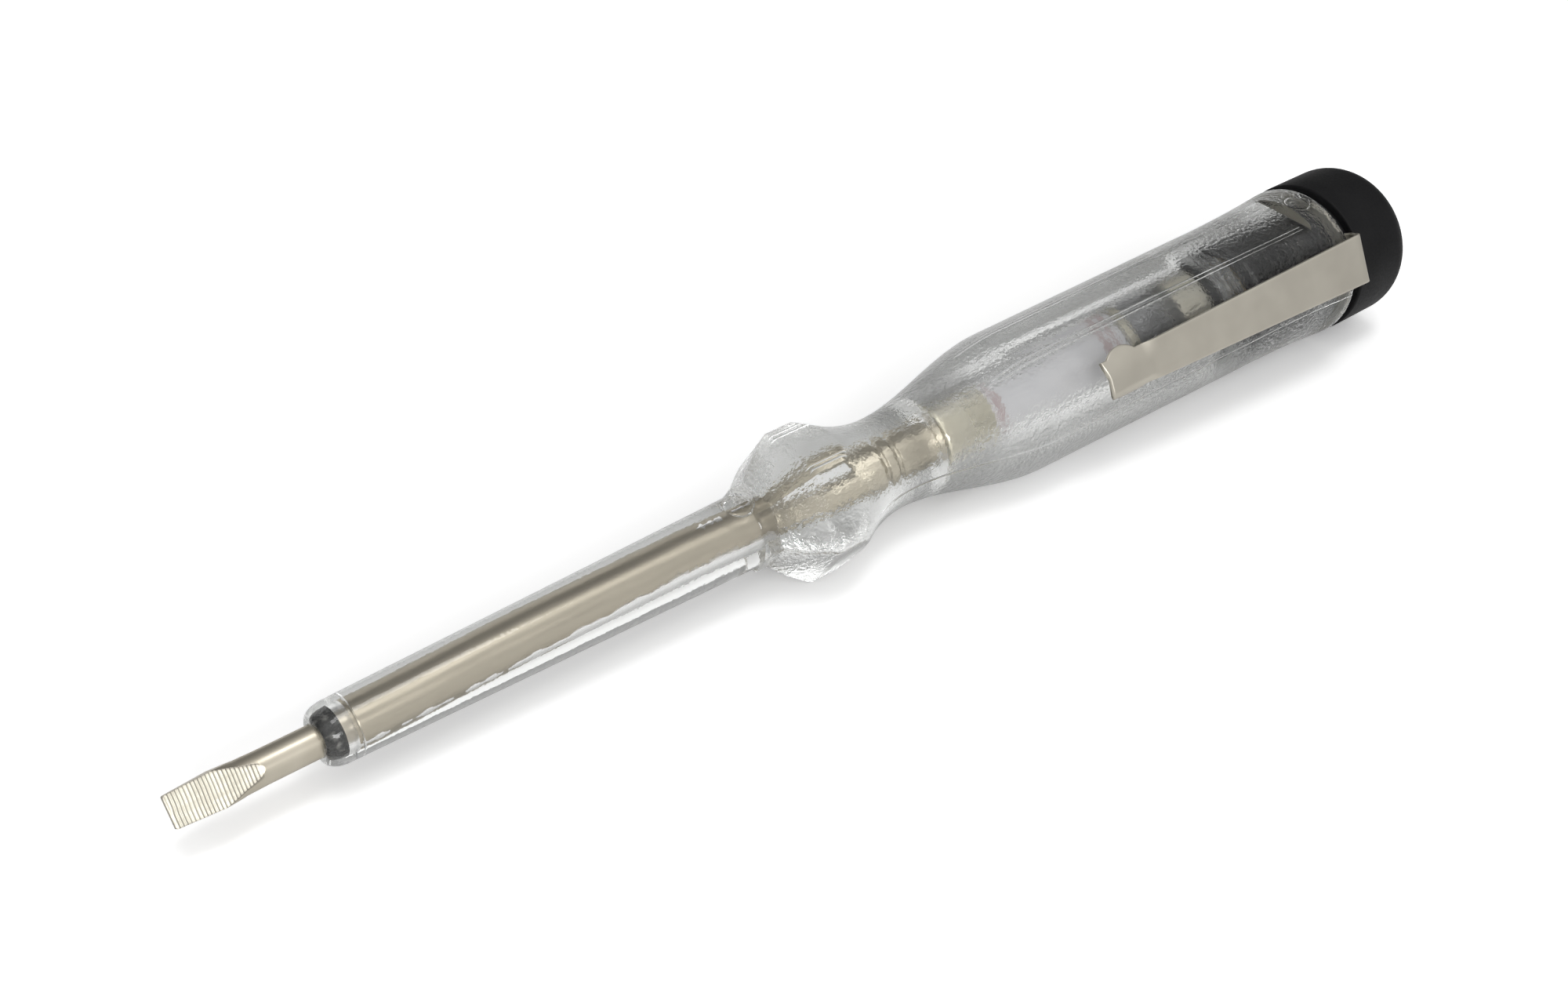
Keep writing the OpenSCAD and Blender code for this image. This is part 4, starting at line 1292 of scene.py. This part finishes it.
# %% Grooves of the grinding wheel
def grind_wave(x, turn):
    """Grooves from 0 to 1 across the flat, with a phase that wobbles, and their
    strength, which changes slowly along the blade and is 0 at the very tip."""
    wobble = 0.35 * np.sin(x * 2.3) + 0.25 * np.sin(x * 5.1 + 1)
    phase = (x[:, None] + 0.05 * np.sin(turn)) / GRIND_PITCH + 0.12 * wobble[:, None]
    strength = (0.88 + 0.12 * np.sin(x * 2.9))[:, None] * ease(x / 0.3)[:, None]
    return np.abs(np.sin(math.pi * phase)), strength


print("grooves on the ground face:", int(GROUND_LEN / GRIND_PITCH))

# %% The blade's surface
GRIND_DEPTH, GRIND_STOP = 0.03, (GROUND_LEN - 0.25, 0.4)
TIP_WORN, TIP_ROUND, TIP_WEAR, EDGE_WEAR, END_DROP = 0.10, 0.14, 0.12, 0.18, 0.25


def blade_grid():
    """Points of the blade, and its wear, face and painted groove shade values for each of them."""
    x = blade_places()
    thick, spread, round_r = blade_limits(x)
    worn = 1 - TIP_WORN * (1 - ease(x / TIP_ROUND))
    thick, spread = thick * worn, spread * (0.5 + 0.5 * worn)
    into_end = np.clip((x - SHAFT_END_X + END_ROUND) / END_ROUND, 0, 1)
    round_r = round_r - END_DROP * (1 - np.sqrt(1 - into_end ** 2))
    turn = blade_angles(thick, spread, round_r)
    scallop, strength = grind_wave(x, turn)
    ground_share = fades(x, *GRIND_STOP)[:, None]
    cut = thick[:, None] - GRIND_DEPTH * scallop * strength * ground_share
    flat_r = cut / np.maximum(np.abs(np.cos(turn)), 1e-6)
    side_r = spread[:, None] / np.maximum(np.abs(np.sin(turn)), 1e-6)
    other_r = np.minimum(side_r, round_r[:, None])
    grid = bowed(around_axis(x[:, None] + 0 * turn, np.minimum(flat_r, other_r), turn + BLADE_TURN))
    near_edge = np.minimum(np.abs(flat_r - other_r) / EDGE_WEAR, 1)
    wear = (1 - near_edge) * (x < GROUND_LEN - 0.3)[:, None]
    wear = np.maximum(wear, np.exp(-(x / TIP_WEAR) ** 2)[:, None] + 0 * turn)
    face = (flat_r <= other_r) * ground_share
    # the groove value is the share of painted shade in the grooves
    return grid, {"wear": wear, "ground_face": face, "groove_shade": scallop * strength * face}


blade_points, blade_values = blade_grid()
print("mean wear:", round(float(blade_values["wear"].mean()), 3))


# %% The blade
def paint(piece, name, values):
    """A float attribute, one value per point of the piece's grid."""
    layer = piece.data.attributes.new(name, "FLOAT", "POINT")
    filled = np.zeros(len(piece.data.vertices), np.float32)
    filled[:values.size] = values.ravel()
    layer.data.foreach_set("value", filled)


blade = surface("blade_skin", blade_points)
for name, values in blade_values.items():
    paint(blade, name, values)
blade.data.materials.append(BLADE_NICKEL)
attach(blade, "tool")
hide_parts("blade")

# %% [markdown]
# ## Turned pieces
# Caps, rods and the glass are turned shapes: one outline carried round the axis.
# Each corner of an outline gets its own small rounding, as a press or mould leaves. A
# Bevel modifier gives every edge the same width, so the outline is rounded instead.


# %% Turned pieces
def soften(corners):
    """An outline whose corners (x, radius, rounding) become short quadratic curves."""
    rows = np.array(corners, float)
    place, rounding = rows[:, :2], rows[:, 2:]

    def towards(other):
        away = other - place
        length = np.maximum(np.linalg.norm(away, axis=1, keepdims=True), 1e-9)
        return place + away / length * np.minimum(rounding, length / 2)

    start, end = towards(np.roll(place, 1, axis=0)), towards(np.roll(place, -1, axis=0))
    t = np.linspace(0, 1, 5)[None, :, None]
    curve = (1 - t) ** 2 * start[:, None] + 2 * t * (1 - t) * place[:, None] + t ** 2 * end[:, None]
    points = curve.reshape(-1, 2)
    step = np.linalg.norm(points - np.roll(points, 1, axis=0), axis=1)
    return points[step > 1e-6]


def full_turn(columns):
    """Even angles once round, without the last one, which is the first again."""
    return np.arange(columns) / columns * 2 * math.pi


def turned(name, outline, closed, body, node, material, columns=72):
    """An outline of points (x, radius) carried round the axis."""
    angle = full_turn(columns)
    grid = around_axis(outline[:, :1] + 0 * angle, outline[:, 1:] + 0 * angle, angle)
    piece = surface(name, grid, closed_rows=closed)
    piece.data.materials.append(material)
    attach(piece, body)
    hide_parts(node)
    return piece


print("points of a softened square:", len(soften([(0, 1, 0.1), (1, 1, 0.1), (1, 2, 0.1), (0, 2, 0.1)])))

# %% [markdown]
# ## The resistor
# A lacquered rod with a pressed metal cup on each end. It keeps the current through
# the finger harmless. The cups are thin sheet, so their outlines run out along the
# outer wall and back along the inner one.

# %% The resistor
AXIS = 0.01
CONTACT_R, CONTACT_IN_R, ROD_R = 3.0, 2.7, 2.65
RESISTOR_X, ROD_X, FRONT_CUP_X = 75.05, 75.35, 81.05
REAR_CUP_X, ROD_END_X, RESISTOR_END_X = 99.25, 100.15, 100.45
LIP = 0.06

front_cup = [(RESISTOR_X, AXIS, 0), (RESISTOR_X, CONTACT_R, 0.35), (FRONT_CUP_X, CONTACT_R, LIP),
             (FRONT_CUP_X, CONTACT_IN_R, LIP), (ROD_X, CONTACT_IN_R, 0.1), (ROD_X, AXIS, 0)]
rod = [(ROD_X, AXIS, 0), (ROD_X, ROD_R, 0.2), (ROD_END_X, ROD_R, 0.2), (ROD_END_X, AXIS, 0)]
rear_cup = [(REAR_CUP_X, CONTACT_IN_R, LIP), (REAR_CUP_X, CONTACT_R, LIP),
            (RESISTOR_END_X, CONTACT_R, 0.3), (RESISTOR_END_X, AXIS, 0),
            (ROD_END_X, AXIS, 0), (ROD_END_X, CONTACT_IN_R, 0.1)]
# the front cup gets the lighter copy of the contact nickel, which is painted light
turned("resistor_front_cap_skin", soften(front_cup), False, "tool", "resistor_front_cap",
       LIT_CONTACT_NICKEL)
turned("resistor_rod_skin", soften(rod), False, "tool", "resistor_rod",
       ROD_LACQUER)
turned("resistor_rear_cap_skin", np.roll(soften(rear_cup), -9, axis=0), True, "tool",
       "resistor_rear_cap", CONTACT_NICKEL)

# %% [markdown]
# ## The lamp
# A glow lamp is a small glass bulb with a metal cap on its rear end. The bulb needs a
# real wall, because glass without an inner surface acts as a solid lens. So its
# outline goes out along the dome and the outer wall and back along the inner one.

# %% The lamp
LAMP_CAP_X, LAMP_END_X, GLASS_X = 107.15, 111.45, 101.05
GLASS_R, GLASS_WALL, GLASS_DOME, LEAD_HOLE_R = 2.85, 0.35, 1.425, 0.16


def glass_outline():
    """Out along the bulb's domed wall and back along its inner wall. Both domes are
    quarter circles, with the wall's thickness between them."""
    rise = np.linspace(0, math.pi / 2, 12)
    outer = np.stack([GLASS_X + GLASS_DOME * (1 - np.cos(rise)),
                      GLASS_R - GLASS_DOME + GLASS_DOME * np.sin(rise)], axis=-1)
    end = LAMP_END_X - GLASS_WALL
    rear = np.array([[LAMP_CAP_X - 0.12, GLASS_R], [LAMP_CAP_X - 0.05, ROD_R],
                     [end, ROD_R], [end, LEAD_HOLE_R],
                     [end - GLASS_WALL, LEAD_HOLE_R], [end - GLASS_WALL, ROD_R - GLASS_WALL]])
    wall = GLASS_WALL * np.stack([np.cos(rise), -np.sin(rise)], axis=-1)
    nose = np.array([[GLASS_X + GLASS_WALL, LEAD_HOLE_R], [GLASS_X, LEAD_HOLE_R]])
    return np.concatenate([outer, rear, (outer + wall)[::-1], nose])


lamp_cap = [(LAMP_CAP_X, CONTACT_IN_R, LIP), (LAMP_CAP_X, CONTACT_R, LIP),
            (LAMP_END_X, CONTACT_R, 0.35), (LAMP_END_X, LEAD_HOLE_R, 0),
            (LAMP_END_X - 0.3, LEAD_HOLE_R, 0), (LAMP_END_X - 0.3, CONTACT_IN_R, 0.1)]
turned("lamp_rear_cap_skin", soften(lamp_cap), True, "tool", "lamp_rear_cap",
       CONTACT_NICKEL)
turned("lamp_glass_skin", glass_outline(), True, "tool", "lamp_glass", LAMP_GLASS)

# %% [markdown]
# ## The contact spring
# A round wire wound on a screw line presses lamp and resistor together. A bevelled
# curve could make it, but its ends would be harder to close flat. The end turns lie
# against the ring and the stud, so the pitch is small at both ends and wide between.

# %% The contact spring
SPRING_START_X, SPRING_END_X, COIL_R, WIRE_R, SPRING_TURNS = 111.45, 117.65, 2.025, 0.225, 7


def spring_grid(steps=560, sides=12):
    """A circle carried along the screw line, square to its direction."""
    turn = np.linspace(0, SPRING_TURNS, steps)
    closed = 2 * WIRE_R * 1.02
    x = np.interp(turn, [0, 1, SPRING_TURNS - 1, SPRING_TURNS],
                  [SPRING_START_X + WIRE_R, SPRING_START_X + WIRE_R + closed,
                   SPRING_END_X - WIRE_R - closed, SPRING_END_X - WIRE_R])
    angle = turn * 2 * math.pi
    line = around_axis(x, COIL_R + 0 * x, -angle)
    ahead = np.gradient(line, axis=0)
    ahead /= np.linalg.norm(ahead, axis=1, keepdims=True)
    out = around_axis(0 * x, 1 + 0 * x, -angle)
    side = np.cross(ahead, out)
    around = full_turn(sides)[None, :, None]
    return line[:, None] + WIRE_R * (np.cos(around) * out[:, None] + np.sin(around) * side[:, None])


spring = surface("contact_spring_skin", spring_grid())
spring.data.materials.append(SPRING_WIRE)
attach(spring, "tool")
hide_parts("contact_spring")

# %% [markdown]
# ## The screw cap
# The cap is one black moulding: a threaded plug, a narrow neck that holds the clip's
# collar, and a round head. The thread could be a separate piece wound on the plug, but
# as a wave on the plug's radius it is one surface with the rest of the outline.

# %% The cap's outline
PLUG_X, PLUG_R, CAP_X, HEAD_X, END_X = 116.4, 4.45, 130.35, 130.9, 140.0
HEAD_R, CAP_NECK_R, HEAD_ROUND = 8.32, 7.42, 2.7
RECESS_R, RECESS_END_X, STUD_HOLE_R, TOUCH_R, TOUCH_X = 2.6, 118.3, 1.26, 3.0, 139.4
NECK_EDGE, HOLE_EDGE = 0.05, 0.03


def cap_outline():
    """Plug, neck, head and rounded end, then back through the stud's hole. The second
    result is the number of points on the plug."""
    thread = np.linspace(PLUG_X + 0.2, CAP_X - 0.6, 132)
    plug = np.stack([thread, PLUG_R + 0 * thread], axis=-1)
    neck = soften([(PLUG_X, PLUG_R, 0), (CAP_X - 0.1, PLUG_R, NECK_EDGE),
                   (CAP_X, CAP_NECK_R, NECK_EDGE), (HEAD_X, CAP_NECK_R, NECK_EDGE),
                   (HEAD_X, HEAD_R, 0.3), (END_X - HEAD_ROUND, HEAD_R, 0), (END_X, 0, 0)])
    neck = neck[(neck[:, 0] >= CAP_X - 0.2) & (neck[:, 0] < END_X - HEAD_ROUND)]
    rise = np.linspace(0, math.pi / 2, 20)
    head = np.stack([END_X - HEAD_ROUND + HEAD_ROUND * np.sin(rise),
                     HEAD_R - HEAD_ROUND + HEAD_ROUND * np.cos(rise)], axis=-1)
    back = soften([(END_X, HEAD_R - HEAD_ROUND - 0.5, 0), (END_X, TOUCH_R, 0.08),
                   (TOUCH_X, TOUCH_R, HOLE_EDGE), (TOUCH_X, STUD_HOLE_R, HOLE_EDGE),
                   (RECESS_END_X, STUD_HOLE_R, HOLE_EDGE), (RECESS_END_X, RECESS_R, 0.1),
                   (PLUG_X, RECESS_R, 0.1), (PLUG_X, PLUG_R - 0.25, 0.05)])
    return np.concatenate([plug, neck, head, back]), len(plug)


def cap_grid(columns=96):
    """The cap's outline carried round. On the plug, the thread's wave is cut in."""
    outline, plug_rows = cap_outline()
    angle = full_turn(columns)
    x = outline[:, :1] + 0 * angle
    on_plug = (np.arange(len(outline)) < plug_rows)[:, None]
    ends = grows(x, PLUG_X, 0.6) * fades(x, CAP_X - 1.4, 0.8)
    core = PLUG_R - THREAD_DEPTH * (1 - thread_wave(x, angle)) * ends
    return around_axis(x, np.where(on_plug, core, outline[:, 1:] + 0 * angle), angle)


print("points along the cap's outline:", len(cap_outline()[0]))

# %% The cap's mesh
cap = surface("end_cap_skin", cap_grid(), closed_rows=True)
cap.data.materials.append(BLACK_MOULDING)
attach(cap, "cap")
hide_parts("end_cap")

# %% [markdown]
# ## The pocket clip
# The clip is punched from sheet steel and bent. Its arm is a strip carried along a
# path: up the bend, along the handle and into an arched tab with two round ears. A
# Solidify modifier on a flat sheet would keep square edges, and punched edges are
# round. First come the path and the width along it.

# %% The clip's path and width
CLIP_T, COLLAR_X, BEND_R, LEG_TOP_H = 0.4, 129.9, 0.4, 9.2
LEAN, LEAN_START_H, LEG_SPLIT_H, LEG_OVERLAP = 0.42, 8.2, 9.0, 0.03
TAB_X, TAB_FRONT_X, ARM_FRONT_H = 97.7, 91.7, 8.75
ARM_REAR_W, ARM_FRONT_W = 5.3, 3.9
EAR_X, EAR_LEN, EAR_HALF_W = 94.2, 2.5, 2.75


def leg_path(low, high):
    """Middle line of the leg, which leans forward near its top."""
    leg_h = np.linspace(low, high, 12)
    leaning = grows(leg_h, LEAN_START_H, LEG_TOP_H - LEAN_START_H)
    return COLLAR_X + CLIP_T / 2 - LEAN * leaning, leg_h


def arm_path():
    """Middle line of the arm: the leg's end, round the bend, along the handle."""
    middle = BEND_R + CLIP_T / 2
    bend_x = COLLAR_X - BEND_R - LEAN
    leg_x, leg_h = (line[:-1] for line in leg_path(LEG_SPLIT_H - LEG_OVERLAP, LEG_TOP_H))
    bend = np.linspace(0, math.pi / 2, 14)
    strap = np.concatenate([np.linspace(bend_x, TAB_X, 60)[1:],
                            TAB_X - (TAB_X - TAB_FRONT_X) * np.linspace(0, 1, 64)[1:]])
    rear_h = LEG_TOP_H + middle
    front_h = ARM_FRONT_H - CLIP_T / 2
    share = np.clip((bend_x - strap) / (bend_x - TAB_X), 0, 1)
    x = np.concatenate([leg_x, bend_x + middle * np.cos(bend), strap])
    height = np.concatenate([leg_h, LEG_TOP_H + middle * np.sin(bend),
                             rear_h + (front_h - rear_h) * share])
    return x, height


def clip_half_width(x):
    """Half the strip's width: a straight taper, then the round ears of the tab."""
    taper = np.interp(x, [TAB_X, COLLAR_X - BEND_R], [ARM_FRONT_W / 2, ARM_REAR_W / 2])
    ear = EAR_HALF_W * np.sqrt(np.clip(1 - ((x - EAR_X) / EAR_LEN) ** 2, 0, None))
    return np.where(x < TAB_X, np.maximum(taper, ear), taper)


print("arm from", [round(float(v), 2) for v in (arm_path()[0].max(), arm_path()[0].min())],
      "and widest", round(2 * float(clip_half_width(arm_path()[0]).max()), 2), "mm")

# %% [markdown]
# ## The clip's section
# A section has two flat faces and two rounded edges. On the tab it is bent across: its
# upper side follows a wide arch, and its lower side curls down on a small radius. The
# finished strip is then turned to the clip's side of the handle.

# %% The arch of the tab
ARCH_R, CURL_START, CURL_R, CURL_MOST = 4.69, 1.15, 0.85, 1.4


def tab_arch(u):
    """Width and drop of a point at u along the arched section, and its lean. The upper
    side follows a wide arch. The lower side curls down on a small radius."""
    wide = np.clip(u, 0, None)
    upper_u, upper_drop = ARCH_R * np.sin(wide / ARCH_R), ARCH_R * (1 - np.cos(wide / ARCH_R))
    past = np.clip(-u - CURL_START, 0, None)
    turn = np.minimum(past / CURL_R, CURL_MOST)
    straight = past - turn * CURL_R
    lower_u = np.minimum(-u, CURL_START) + CURL_R * np.sin(turn) + straight * np.cos(turn)
    lower_drop = CURL_R * (1 - np.cos(turn)) + straight * np.sin(turn)
    width = np.where(u > 0, upper_u, -lower_u)
    lean = np.where(u > 0, wide / ARCH_R, -turn)
    return width, np.where(u > 0, upper_drop, lower_drop), lean


print("drop at the upper and lower edge:",
      tab_arch(np.array([EAR_HALF_W, -EAR_HALF_W]))[1].round(2))

# %% The strip
CLIP_TURN = math.radians(60)
EDGE_R, EAR_SWEEP, EAR_SWEEP_W = 0.09, 0.45, 2.2
ARCH_START, ARCH_RUN = 0.6, 1.6


def clip_turned(x, across, height):
    """The clip's own width and height turned to its side of the handle."""
    y = -height * math.sin(CLIP_TURN) + across * math.cos(CLIP_TURN)
    z = height * math.cos(CLIP_TURN) + across * math.sin(CLIP_TURN)
    return np.stack([x, y, z], axis=-1)


def strip_grid(x, height, thickness):
    """A flat section with rounded edges at every station of a path."""
    ahead = np.stack([np.gradient(x), np.gradient(height)], axis=-1)
    ahead /= np.linalg.norm(ahead, axis=1, keepdims=True)
    normal = np.stack([ahead[:, 1], -ahead[:, 0]], axis=-1)
    edge = np.linspace(0, math.pi, 7)[1:-1]
    flat = np.linspace(-1, 1, 25)
    across = np.concatenate([flat, 1 + 0 * edge, flat[::-1], -1 + 0 * edge])
    level = np.concatenate([1 + 0 * flat, np.cos(edge), -1 + 0 * flat, -np.cos(edge)])
    bulge = np.concatenate([0 * flat, np.sin(edge), 0 * flat, -np.sin(edge)])
    u = across * (clip_half_width(x)[:, None] - EDGE_R) + bulge * EDGE_R
    lift = level * thickness / 2
    arch = fades(x, TAB_X + ARCH_START, ARCH_RUN)[:, None]
    width, drop, lean = tab_arch(u)
    width, drop, lean = u + (width - u) * arch, drop * arch, lean * arch
    forward = EAR_SWEEP * ease(u / EAR_SWEEP_W) * fades(x, EAR_X, EAR_X - TAB_FRONT_X)[:, None]
    px = x[:, None] + normal[:, :1] * lift - forward
    ph = height[:, None] + normal[:, 1:] * lift * np.cos(lean) - drop
    return clip_turned(px, width + np.sin(lean) * lift, ph)


clip = surface("clip_arm_skin", strip_grid(*arm_path(), CLIP_T))
clip.data.materials.append(CLIP_NICKEL)
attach(clip, "clip_spring")
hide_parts("clip_arm")

# %% [markdown]
# ## The clip's leg and collar
# A ring round the cap's neck holds the clip, and a short leg joins it to the bend. The
# real clip is one stamping that springs. Here the arm turns at the bend, so leg and
# collar ride together and the arm by itself. The leg overlaps the arm by a hair and is
# a little thinner, which hides the split when the arm opens.

# %% The clip's leg and collar
LEG_FOOT_H, LEG_THINNER, COLLAR_IN_R, COLLAR_R = 6.3, 0.02, 4.5, 6.8
leg = surface("clip_leg_skin", strip_grid(*leg_path(LEG_FOOT_H, LEG_SPLIT_H + LEG_OVERLAP),
                                          CLIP_T - LEG_THINNER))
leg.data.materials.append(CLIP_NICKEL)
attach(leg, "clip_mount")
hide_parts("clip_collar")
collar = [(COLLAR_X, COLLAR_IN_R, 0.05), (COLLAR_X, COLLAR_R, 0.08),
          (COLLAR_X + CLIP_T, COLLAR_R, 0.08), (COLLAR_X + CLIP_T, COLLAR_IN_R, 0.05)]
turned("clip_collar_skin", soften(collar), True, "clip_mount", "clip_collar",
       CLIP_NICKEL, columns=120)

# %% [markdown]
# ## Pieces kept from the model
# The small pieces inside the lamp, the bore and the cap are plain round bars and
# discs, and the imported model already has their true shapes. Making them again would
# add nothing, so they only get their finish.

# %% Finishes of the pieces kept from the model
KEPT = {"lamp_front_contact": CONTACT_NICKEL,
        "lamp_front_lead": LEAD_WIRE, "lamp_front_electrode": ELECTRODE_METAL,
        "lamp_rear_electrode": ELECTRODE_METAL, "lamp_rear_lead": LEAD_WIRE,
        "lamp_solder": SOLDER, "insulating_ring": BLACK_RUBBER,
        "contact_stud": STUD_BRASS, "touch_plate": CLIP_NICKEL}
for node, material in KEPT.items():
    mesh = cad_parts[node].data
    mesh.materials.clear()
    mesh.materials.append(material)
print(len(KEPT), "pieces keep the model's own shape")
